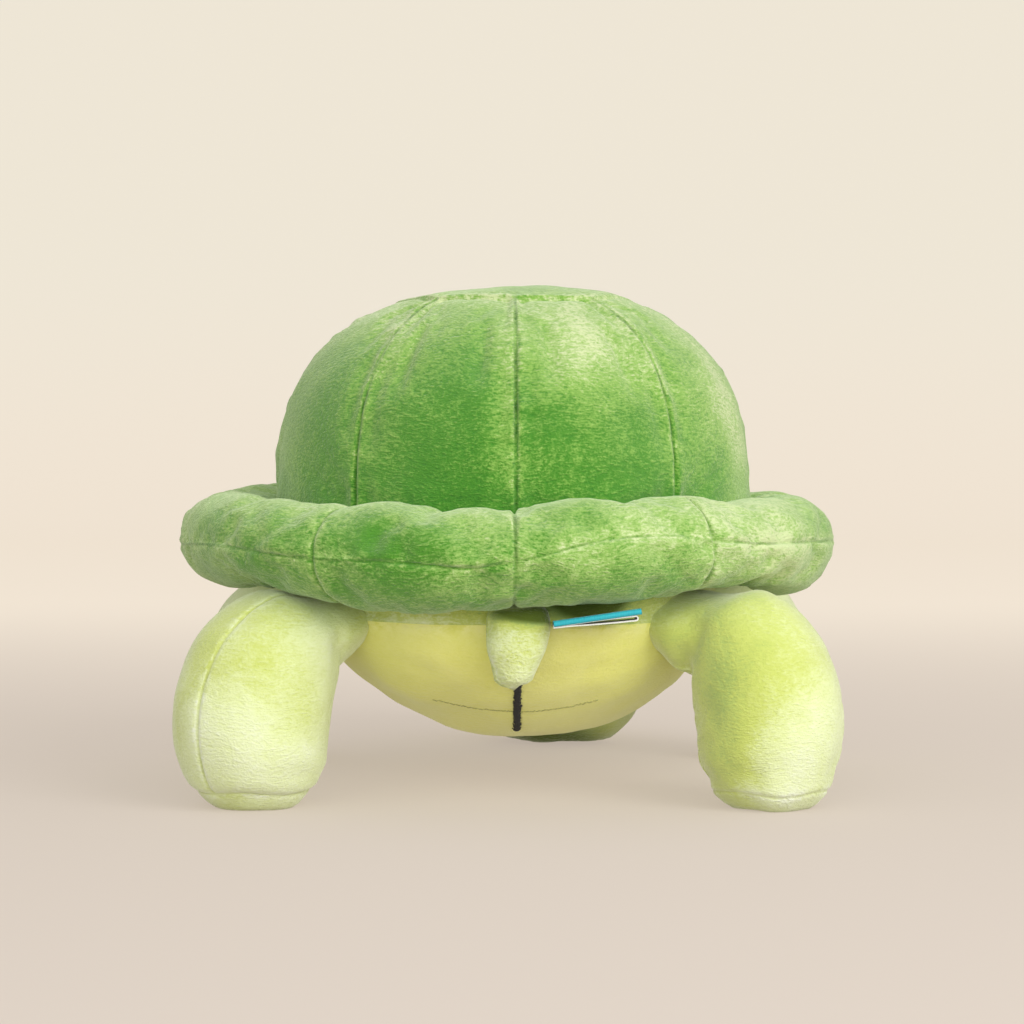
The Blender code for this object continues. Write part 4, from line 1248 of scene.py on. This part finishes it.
class TURTLE_OT_legs(bpy.types.Operator):
    """Sew the four legs, each with its sole"""

    bl_idname = "turtle.legs"
    bl_label = "Legs"

    def execute(self, context):
        limbs = sizes("turtle_limbs")
        dark, light, pale = shades("pale")
        for number, (leg, (seam_deg, back_deg, wide, slim)) in enumerate(LEG_STANDS.items()):
            pair = leg.split("_")[0]
            top, reach = getattr(limbs, f"{pair}_top"), getattr(limbs, f"{pair}_reach")
            hip, out = leg_place(leg)
            stand = Matrix.Rotation(math.radians(-back_deg if hip.x > 0 else back_deg), 3, "Z") @ out
            surface, run, ankle_share, sole_share = leg_surface(top, reach * wide, slim, hip, stand)
            seams = [((seam_deg / 360 + half) % 1, 0.12, sole_share) for half in (0.0, 0.5)]
            held = ((0.0, 0.10), (ankle_share, 1.0))
            form = SewnForm(surface, run, 0.2, -1, seams, row_seams=(sole_share,), held=held, inset=0.7)
            rear_deg = REAR_DEG if leg.endswith("left") else -REAR_DEG
            nap = strokes(RIGHT_LEG_NAP_SHARES if leg == "hind_right" else LEG_NAP_AND_PAINTED_LIGHT_SHARES, rear_deg)
            piece = form.sewn(f"{leg}_leg_cloth", 41 + 7 * number, nap, lumps=0.0006, sink=0.6)
            nap_shades = (dark if pair == "hind" else light, light, pale)
            cloth = velour(
                f"{leg}_leg_velour", *nap_shades, patch=0.028, offset=-0.05, weave=0.55, valley=0.72
            )
            dress(piece, cloth)
            parts = ("front_panel", "rear_panel", "sole", "stuffing")
            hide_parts(*[f"{leg}_leg_{part}" for part in parts])
            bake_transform(piece)
        return {"FINISHED"}


def head_frame():
    neck, _ = joint_place("head_turn")
    return Matrix.Translation(neck) @ Matrix.Rotation(sizes("turtle_head").turn, 4, "Z")


def lying_surface(rings, keys, place, upright):
    """A surface from rings of (along, half width, half height, middle height), placed by a matrix.
    Upright forms run down along -Z, the others along +Y."""
    values = ring_form(rings, keys)
    turn_in = np.array(place.to_3x3())
    shift = np.array(place.translation)

    def surface(rows, columns):
        along, wide, high, middle = (v[:, None] for v in values(rows).T)
        turn = columns[None] * TAU
        x, y = wide * np.cos(turn), high * np.sin(turn)
        x, y, along = np.broadcast_arrays(x, y + middle, along)
        points = np.stack([x, y, -along] if upright else [x, along, y], -1)
        return points @ turn_in.T + shift

    return surface


class TURTLE_OT_head(bpy.types.Operator):
    """Sew the head"""

    bl_idname = "turtle.head"
    bl_label = "Head"

    def execute(self, context):
        head = sizes("turtle_head")
        rings = [(-head.neck_radius - NECK_TIP, 0.0, 0.0, 0.0)]
        for ahead, wide in NECK_RING_SHARES:
            wide = wide * head.neck_radius
            rings.append(((ahead - 1) * head.neck_radius, wide, wide, 0.0))
        for ahead, wide, high in HEAD_RING_SHARES:
            rings.append((ahead * head.reach, wide * head.half_width, high * head.half_height, -head.drop))
        rings.append((head.reach, 0.0, 0.0, -head.drop))
        keys, run = ring_keys([(ring[0], ring[2]) for ring in rings])
        place = head_frame()
        plain_surface = lying_surface(rings, keys, place, False)
        low = place.translation.z - head.drop

        def surface(rows, columns):
            points = plain_surface(rows, columns)
            level = points[..., :2] - np.array(place.translation[:2])
            ahead = level @ np.array(place.to_3x3().col[1][:2]) / head.reach
            full = np.exp(-(((ahead - THROAT_PLACE_SHARE) / THROAT_SPREAD_SHARE) ** 4))
            under = np.clip((low - points[..., 2]) / (low - head.throat), 0, 1)
            points[..., 0] += head.sway * full * under
            points[..., 2] -= full * THROAT_DROP_SHARE * (low - head.throat) * under**0.6
            points[..., 2] = np.maximum(points[..., 2], head.throat)
            return points

        seams = [(0.25, 0.15, 1.0), (0.75, 0.62, 1.0)]
        form = SewnForm(surface, run, 0.36, -1, seams, held=((0.0, 0.12),), inset=0.7)
        piece = form.sewn("head_cloth", 83, strokes(HEAD_NAP_AND_PAINTED_SHADE_SHARES))
        dress(piece, velour("head_velour", *shades("pale"), weave=0.6, valley=0.7))
        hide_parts("head_left_panel", "head_right_panel", "head_stuffing")
        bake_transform(piece)
        return {"FINISHED"}


class TURTLE_OT_tail(bpy.types.Operator):
    """Sew the tail"""

    bl_idname = "turtle.tail"
    bl_label = "Tail"

    def execute(self, context):
        limbs = sizes("turtle_limbs")
        low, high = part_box("tail_cover")
        top = high.z + limbs.tail_rise
        reach = top - low.z
        rings = [(0.0, 0.0, 0.0, 0.0)]
        for down, wide, deep in TAIL_RING_SHARES:
            rings.append((down * reach, wide * limbs.tail_half_width, deep * limbs.tail_half_depth, 0.0))
        rings.append((reach, 0.0, 0.0, 0.0))
        keys, run = ring_keys([(ring[0], ring[1]) for ring in rings])
        middle = (low + high) / 2
        middle.x += limbs.tail_shift
        place = Matrix.Translation((middle.x, middle.y, top))
        upright = lying_surface(rings, keys, place, True)

        def surface(rows, columns):
            points = upright(rows, columns)
            points[..., 0] -= limbs.tail_lean * ((top - points[..., 2]) / reach) ** 2
            return points

        def knot(points):
            across = points[..., 0] - middle.x + limbs.tail_lean + KNOT_LEFT_SHARE * limbs.tail_half_width
            up = points[..., 2] - low.z - KNOT_UP_SHARE * limbs.knot_radius
            away = np.hypot(across, up) / limbs.knot_radius
            roll = 0.5 + 0.5 * np.cos(TAU * KNOT_TURNS * away - np.arctan2(up, across))
            behind = points[..., 1] < middle.y
            return limbs.knot_rise * behind * roll * np.exp(-(away**4))

        form = SewnForm(surface, run, 0.07, 1, ((0.5, 0.1, 1.0),), held=((0.0, 0.2),), inset=0.4)
        nap = strokes(TAIL_NAP_AND_PAINTED_SHADE_SHARES)
        piece = form.sewn("tail_cloth", 97, nap, lumps=0.0006, lump_size=0.014, relief=knot)
        dress(piece, velour("tail_velour", *shades("pale"), patch=0.02, valley=0.7))
        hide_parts("tail_cover", "tail_stuffing")
        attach(piece, "tail")
        return {"FINISHED"}


# Face, line and label


class TURTLE_OT_face(bpy.types.Operator):
    """Finish the eyes, their washers and the stitched mouth"""

    bl_idname = "turtle.face"
    bl_label = "Face"

    def execute(self, context):
        cloth = sizes("turtle_cloth")
        nodes = frame["nodes"]
        eye = smooth_plastic("eye_black_gloss", cloth.black, roughness=0.12, coat=0.8)
        washer = smooth_plastic("washer_plastic", WASHER_GREY, roughness=0.5)
        for side in ("left", "right"):
            dress(nodes[f"{side}_eye"], eye)
            dress(nodes[f"{side}_eye_washer"], washer)
        dress(nodes["mouth_stitching"], thread_cloth("mouth_thread", cloth.black))
        dress(nodes["shell_base_lining"], velour("lining_velour", *shades("pale"), patch=0.03))
        return {"FINISHED"}


def back_of_belly(x, height):
    """The point of the belly's cloth that is seen from behind at a distance from the middle and a height,
    and the way out there."""
    body = sizes("turtle_body")
    start = Vector((x, SHELL_MIDDLE.y - 2 * body.back, height))
    hit, point, way, _ = bpy.data.objects["belly_cloth"].ray_cast(start, Vector((0.0, 1.0, 0.0)))
    if not hit:
        raise RuntimeError(f"no belly at {x:.3f}, {height:.3f}")
    return point, way


def thread_object(name, stitches, sides=6):
    """Round threads, one for each list of (point, way out, radius)."""
    points, faces = [], []
    for stitch in stitches:
        first = len(points)
        count = len(stitch)
        for k, (place, up, radius) in enumerate(stitch):
            ahead = stitch[min(k + 1, count - 1)][0] - stitch[max(k - 1, 0)][0]
            side = ahead.cross(up).normalized()
            up = side.cross(ahead).normalized()
            for j in range(sides):
                turn = TAU * j / sides
                points.append(place + side * radius * math.cos(turn) + up * radius * math.sin(turn))
        for k in range(count - 1):
            for j in range(sides):
                a, b = first + k * sides + j, first + k * sides + (j + 1) % sides
                faces.append((a, b, b + sides, a + sides))
        faces.append(tuple(first + j for j in reversed(range(sides))))
        faces.append(tuple(first + (count - 1) * sides + j for j in range(sides)))
    return mesh_object(name, points, faces)


class TURTLE_OT_belly_line(bpy.types.Operator):
    """Stitch the black line on the belly, under the tail"""

    bl_idname = "turtle.belly_line"
    bl_label = "Belly Line"

    def execute(self, context):
        body = sizes("turtle_body")
        cloth = sizes("turtle_cloth")
        rng = np.random.default_rng(5)
        middle_x = middle_of("belly_line_stitching").x + body.line_shift
        count = round((body.line_top - body.line_bottom) / body.thread_pitch)
        stitches = []
        for k in range(count):
            height = body.line_top - (k + 0.5) * body.thread_pitch
            half = body.line_width / 2 * (1 + LINE_WIDTH_STRAY * rng.normal())
            shift = STITCH_STRAY * rng.normal()
            stitch = []
            for j in range(LINE_POINTS):
                across = 2 * j / (LINE_POINTS - 1) - 1
                point, way = back_of_belly(middle_x + across * half + shift, height)
                rise = LINE_RISE * math.sqrt(max(0.0, 1 - (across * 0.92) ** 2))
                stitch.append((point + way * rise, way, body.thread_pitch * 0.62))
            stitches.append(stitch)
        piece = thread_object("belly_line_threads", stitches)
        dress(piece, thread_cloth("belly_line_thread", cloth.black))
        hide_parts("belly_line_stitching")
        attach(piece, "body")
        return {"FINISHED"}


class TURTLE_OT_closing_seam(bpy.types.Operator):
    """Stitch the thin hand-sewn seam across the belly"""

    bl_idname = "turtle.closing_seam"
    bl_label = "Closing Seam"

    def execute(self, context):
        body = sizes("turtle_body")
        cloth = sizes("turtle_cloth")
        rng = np.random.default_rng(8)
        count = round(2 * body.closing_width / body.closing_pitch)
        stitches = []
        for k in range(count):
            stitch = []
            lift = rng.uniform(0.2, 1.0)
            for j in range(CLOSING_POINTS):
                part = j / (CLOSING_POINTS - 1)
                x = (2 * (k + CLOSING_STITCH_SHARE * part) / count - 1) * body.closing_width
                height = body.closing_height + body.closing_rise * (x / body.closing_width) ** 2
                point, way = back_of_belly(x + body.closing_shift, height + STITCH_STRAY * rng.normal())
                rise = body.closing_thread * lift * math.sin(math.pi * part)
                stitch.append((point + way * rise, way, body.closing_thread))
            stitches.append(stitch)
        piece = thread_object("closing_seam_threads", stitches)
        dress(piece, thread_cloth("closing_seam_thread", cloth.closing_green))
        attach(piece, "body")
        return {"FINISHED"}


class TURTLE_OT_label(bpy.types.Operator):
    """Finish the two folded ribbons of the label"""

    bl_idname = "turtle.label"
    bl_label = "Label"

    def execute(self, context):
        cloth = sizes("turtle_cloth")
        label = sizes("turtle_label")
        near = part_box("label_ribbon")[0].y + label.lip
        place = Matrix.Translation((label.left, near, label.height)) @ Matrix.Rotation(-label.lift, 4, "X")
        # The outer ribbon is folded at its near edge, the inner one at its right end
        outer = place @ Matrix.Rotation(-label.rise, 4, "Y")
        outer = outer @ Matrix.Translation((label.reach / 2, label.depth, -label.fold / 2))
        outer = outer @ Matrix.Rotation(-TAU / 4, 4, "Z")
        inner = place @ Matrix.Translation((0.0, label.depth / 2, -label.fold))
        inner = inner @ Matrix.Rotation(-label.inner_rise, 4, "Y")
        teal = self.ribbon("folded_label", outer, label.depth, label.fold, label.reach)
        inner_reach = label.reach - label.opening
        white = self.ribbon("folded_label_inside", inner, inner_reach, label.opening, label.depth)
        dress(teal, ribbon_cloth("label_teal_ribbon", cloth.label_teal))
        dress(white, ribbon_cloth("label_white_ribbon", cloth.label_white))
        for piece, node, slot, flat in (
            (teal, "label_ribbon", "label_teal", (2 * label.depth, label.reach)),
            (white, "label_inner_ribbon", "label_white", (2 * label.reach, label.depth)),
        ):
            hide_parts(node)
            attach(piece, "body")
        return {"FINISHED"}

    def ribbon(self, name, place, reach, opening, width):
        """A ribbon that runs out along +X to a fold and back, with its width along Y."""
        label = sizes("turtle_label")
        outline = []
        for k in range(RIBBON_STEPS + 1):
            part = k / RIBBON_STEPS
            half = 0.5 * opening * (0.22 + 0.78 * math.sin(0.5 * math.pi * min(1.0, part * 1.15)))
            outline.append((reach * part, max(half, 1.1 * label.thickness)))
        bend = outline[-1][1]
        for k in range(1, FOLD_STEPS):
            turn = math.pi / 2 - math.pi * k / FOLD_STEPS
            outline.append((reach + bend * math.cos(turn), bend * math.sin(turn)))
        outline += [(x, -z) for x, z in reversed(outline[: RIBBON_STEPS + 1])]
        outline = np.array(outline)
        way = np.gradient(outline, axis=0)
        way /= np.linalg.norm(way, axis=1)[:, None]
        inward = np.stack([way[:, 1], -way[:, 0]], 1)
        loop = np.concatenate([outline, (outline + inward * label.thickness)[::-1]])
        across = [width * (k / RIBBON_STRIPS - 0.5) for k in range(RIBBON_STRIPS + 1)]
        points = [tuple(place @ Vector((x, y, z))) for y in across for x, z in loop]
        count = len(loop)
        faces = []
        for k in range(RIBBON_STRIPS):
            for j in range(count):
                a, b = k * count + j, k * count + (j + 1) % count
                faces.append((a, b, b + count, a + count))
        half = count // 2
        for k, flip in ((0, False), (RIBBON_STRIPS, True)):
            for j in range(half - 1):
                face = [k * count + i for i in (j, j + 1, count - 2 - j, count - 1 - j)]
                faces.append(tuple(face if flip else face[::-1]))
        return mesh_object(name, points, faces, smooth=False)


# The stage

# Tints of the light the paper gives back, of its painted glow, and of the lamps
SHADE_TINT = Vector((1.0, 1.035, 1.08))
PAINTED_GLOW_TINT = (1.0, 0.975, 0.945)
LAMP_TINT = (1.0, 0.99, 0.97)
# Lamps: name, place beside the shell's middle, diameter and power
LAMPS = (("key_light", (1.1, -1.3, 0.95), 1.3, 19.5), ("fill_light", (-0.1, -1.9, 0.3), 1.9, 18.5))
LAMP_AIM_HEIGHT = 0.12
# Heights between which the backdrop's colour changes, and places behind the lamps where the floor turns pale
WALL_FADE = (0.0, 0.6)
LAMP_FADE = (-1.3, -2.1)
PAPER_HALF_WIDTH = 6.0
BEND_STEPS = 12


class TURTLE_OT_stage(bpy.types.Operator):
    """Set up the floor, the backdrop, the soft studio lights and the camera"""

    bl_idname = "turtle.stage"
    bl_label = "Stage"

    def execute(self, context):
        stage = sizes("turtle_stage")
        self.backdrop(stage)
        self.lights(context, stage)
        self.camera(context, stage)
        return {"FINISHED"}

    def backdrop(self, stage):
        half, bend = PAPER_HALF_WIDTH, stage.floor_bend
        profile = [(-half, 0.0), (stage.floor_reach, 0.0)]
        for k in range(1, BEND_STEPS + 1):
            turn = TAU / 4 * k / BEND_STEPS
            profile.append((stage.floor_reach + bend * math.sin(turn), bend * (1 - math.cos(turn))))
        profile.append((stage.floor_reach + bend, half))
        points = [(x, y, z) for y, z in profile for x in (-half, half)]
        faces = [(2 * k, 2 * k + 1, 2 * k + 3, 2 * k + 2) for k in range(len(profile) - 1)]
        floor = mesh_object("studio_floor", points, faces)
        floor.location = (SHELL_MIDDLE.x, SHELL_MIDDLE.y, 0.0)
        graph = Graph("studio_paper")
        place = graph.add("SeparateXYZ", {"Vector": graph.place()}).outputs
        behind_lamps = graph.spread(place["Y"], *LAMP_FADE)
        low = graph.spread(place["Y"], stage.fade_start, stage.fade_end)
        low = graph.math("MAXIMUM", low, behind_lamps)
        high = graph.spread(place["Z"], *WALL_FADE)
        base = graph.mix(low, rgba(stage.floor_colour), rgba(stage.wall_low))
        base = graph.mix(high, base, rgba(stage.wall_high))
        shade = graph.mix(1.0, base, rgba(stage.paper_shade * SHADE_TINT), "MULTIPLY")
        values = {"Base Color": shade, "Roughness": 0.95, "Specular IOR Level": 0.05}
        # Painted glow of the paper: seen in full by the camera, in part by the turtle, stronger far behind
        # and under the lamps
        lit = graph.math("MULTIPLY_ADD", graph.seen(), 1 - stage.paper_spill, stage.paper_spill)
        glow = graph.math("MULTIPLY_ADD", low, stage.far_painted_glow, stage.painted_paper_glow)
        glow = graph.math("MULTIPLY", lit, glow)
        painted_glow_colour = graph.mix(1.0, base, rgba(PAINTED_GLOW_TINT), "MULTIPLY")
        graph.fill(graph.shader, {**values, "Emission Color": painted_glow_colour, "Emission Strength": glow})
        dress(floor, graph.material)

    def lights(self, context, stage):
        world = context.scene.world or bpy.data.worlds.new("studio")
        context.scene.world = world
        graph = Graph("studio", world)
        seen = graph.seen()
        shown = graph.mix(seen, (1.0, 1.0, 1.0, 1.0), rgba(stage.wall_high))
        strength = graph.math("MULTIPLY_ADD", seen, 1 - stage.room_light, stage.room_light)
        graph.fill(graph.shader, {"Color": shown, "Strength": strength})
        for name, place, size, power in LAMPS:
            lamp = bpy.data.lights.new(name, "AREA")
            lamp.shape = "DISK"
            lamp.size = size
            lamp.energy = power
            lamp.color = LAMP_TINT
            made = bpy.data.objects.new(name, lamp)
            context.scene.collection.objects.link(made)
            made.location = Vector(place) + Vector((SHELL_MIDDLE.x, SHELL_MIDDLE.y, 0.0))
            aim = Vector((SHELL_MIDDLE.x, SHELL_MIDDLE.y, LAMP_AIM_HEIGHT)) - made.location
            made.rotation_euler = aim.to_track_quat("-Z", "Y").to_euler()

    def camera(self, context, stage):
        lens = bpy.data.cameras.new("camera")
        lens.lens = stage.lens
        lens.sensor_width = 36.0
        lens.clip_end = 20.0
        made = bpy.data.objects.new("camera", lens)
        context.scene.collection.objects.link(made)
        across = stage.camera_distance * math.sin(stage.camera_turn)
        back = stage.camera_distance * math.cos(stage.camera_turn)
        made.location = (SHELL_MIDDLE.x - across, SHELL_MIDDLE.y - back, stage.camera_height)
        made.rotation_euler = (TAU / 4 - stage.camera_pitch, 0.0, -stage.camera_turn - stage.camera_aim)
        context.scene.camera = made
        context.scene.view_settings.view_transform = "Standard"


OPERATORS = (
    TURTLE_OT_shell,
    TURTLE_OT_brim,
    TURTLE_OT_body,
    TURTLE_OT_legs,
    TURTLE_OT_head,
    TURTLE_OT_tail,
    TURTLE_OT_face,
    TURTLE_OT_belly_line,
    TURTLE_OT_closing_seam,
    TURTLE_OT_label,
    TURTLE_OT_stage,
)


class TURTLE_PT_panel(bpy.types.Panel):
    """The turtle's sizes, colours and pieces"""

    bl_idname = "TURTLE_PT_panel"
    bl_label = "Plush Turtle"
    bl_space_type = "VIEW_3D"
    bl_region_type = "UI"
    bl_category = "Turtle"

    def draw(self, context):
        for group, kind in GROUPS.items():
            box = self.layout.box()
            for name in kind.__annotations__:
                box.prop(getattr(context.scene, group), name)
        for operator in OPERATORS:
            self.layout.operator(operator.bl_idname)


def register():
    for kind in (*GROUPS.values(), *OPERATORS, TURTLE_PT_panel):
        bpy.utils.register_class(kind)
    for group, kind in GROUPS.items():
        setattr(bpy.types.Scene, group, PointerProperty(type=kind))


def unregister():
    for group in GROUPS:
        delattr(bpy.types.Scene, group)
    for kind in reversed((*GROUPS.values(), *OPERATORS, TURTLE_PT_panel)):
        bpy.utils.unregister_class(kind)


def main():
    register()
    for operator in OPERATORS:
        category, name = operator.bl_idname.split(".")
        getattr(getattr(bpy.ops, category), name)()


if __name__ == "__main__":
    main()
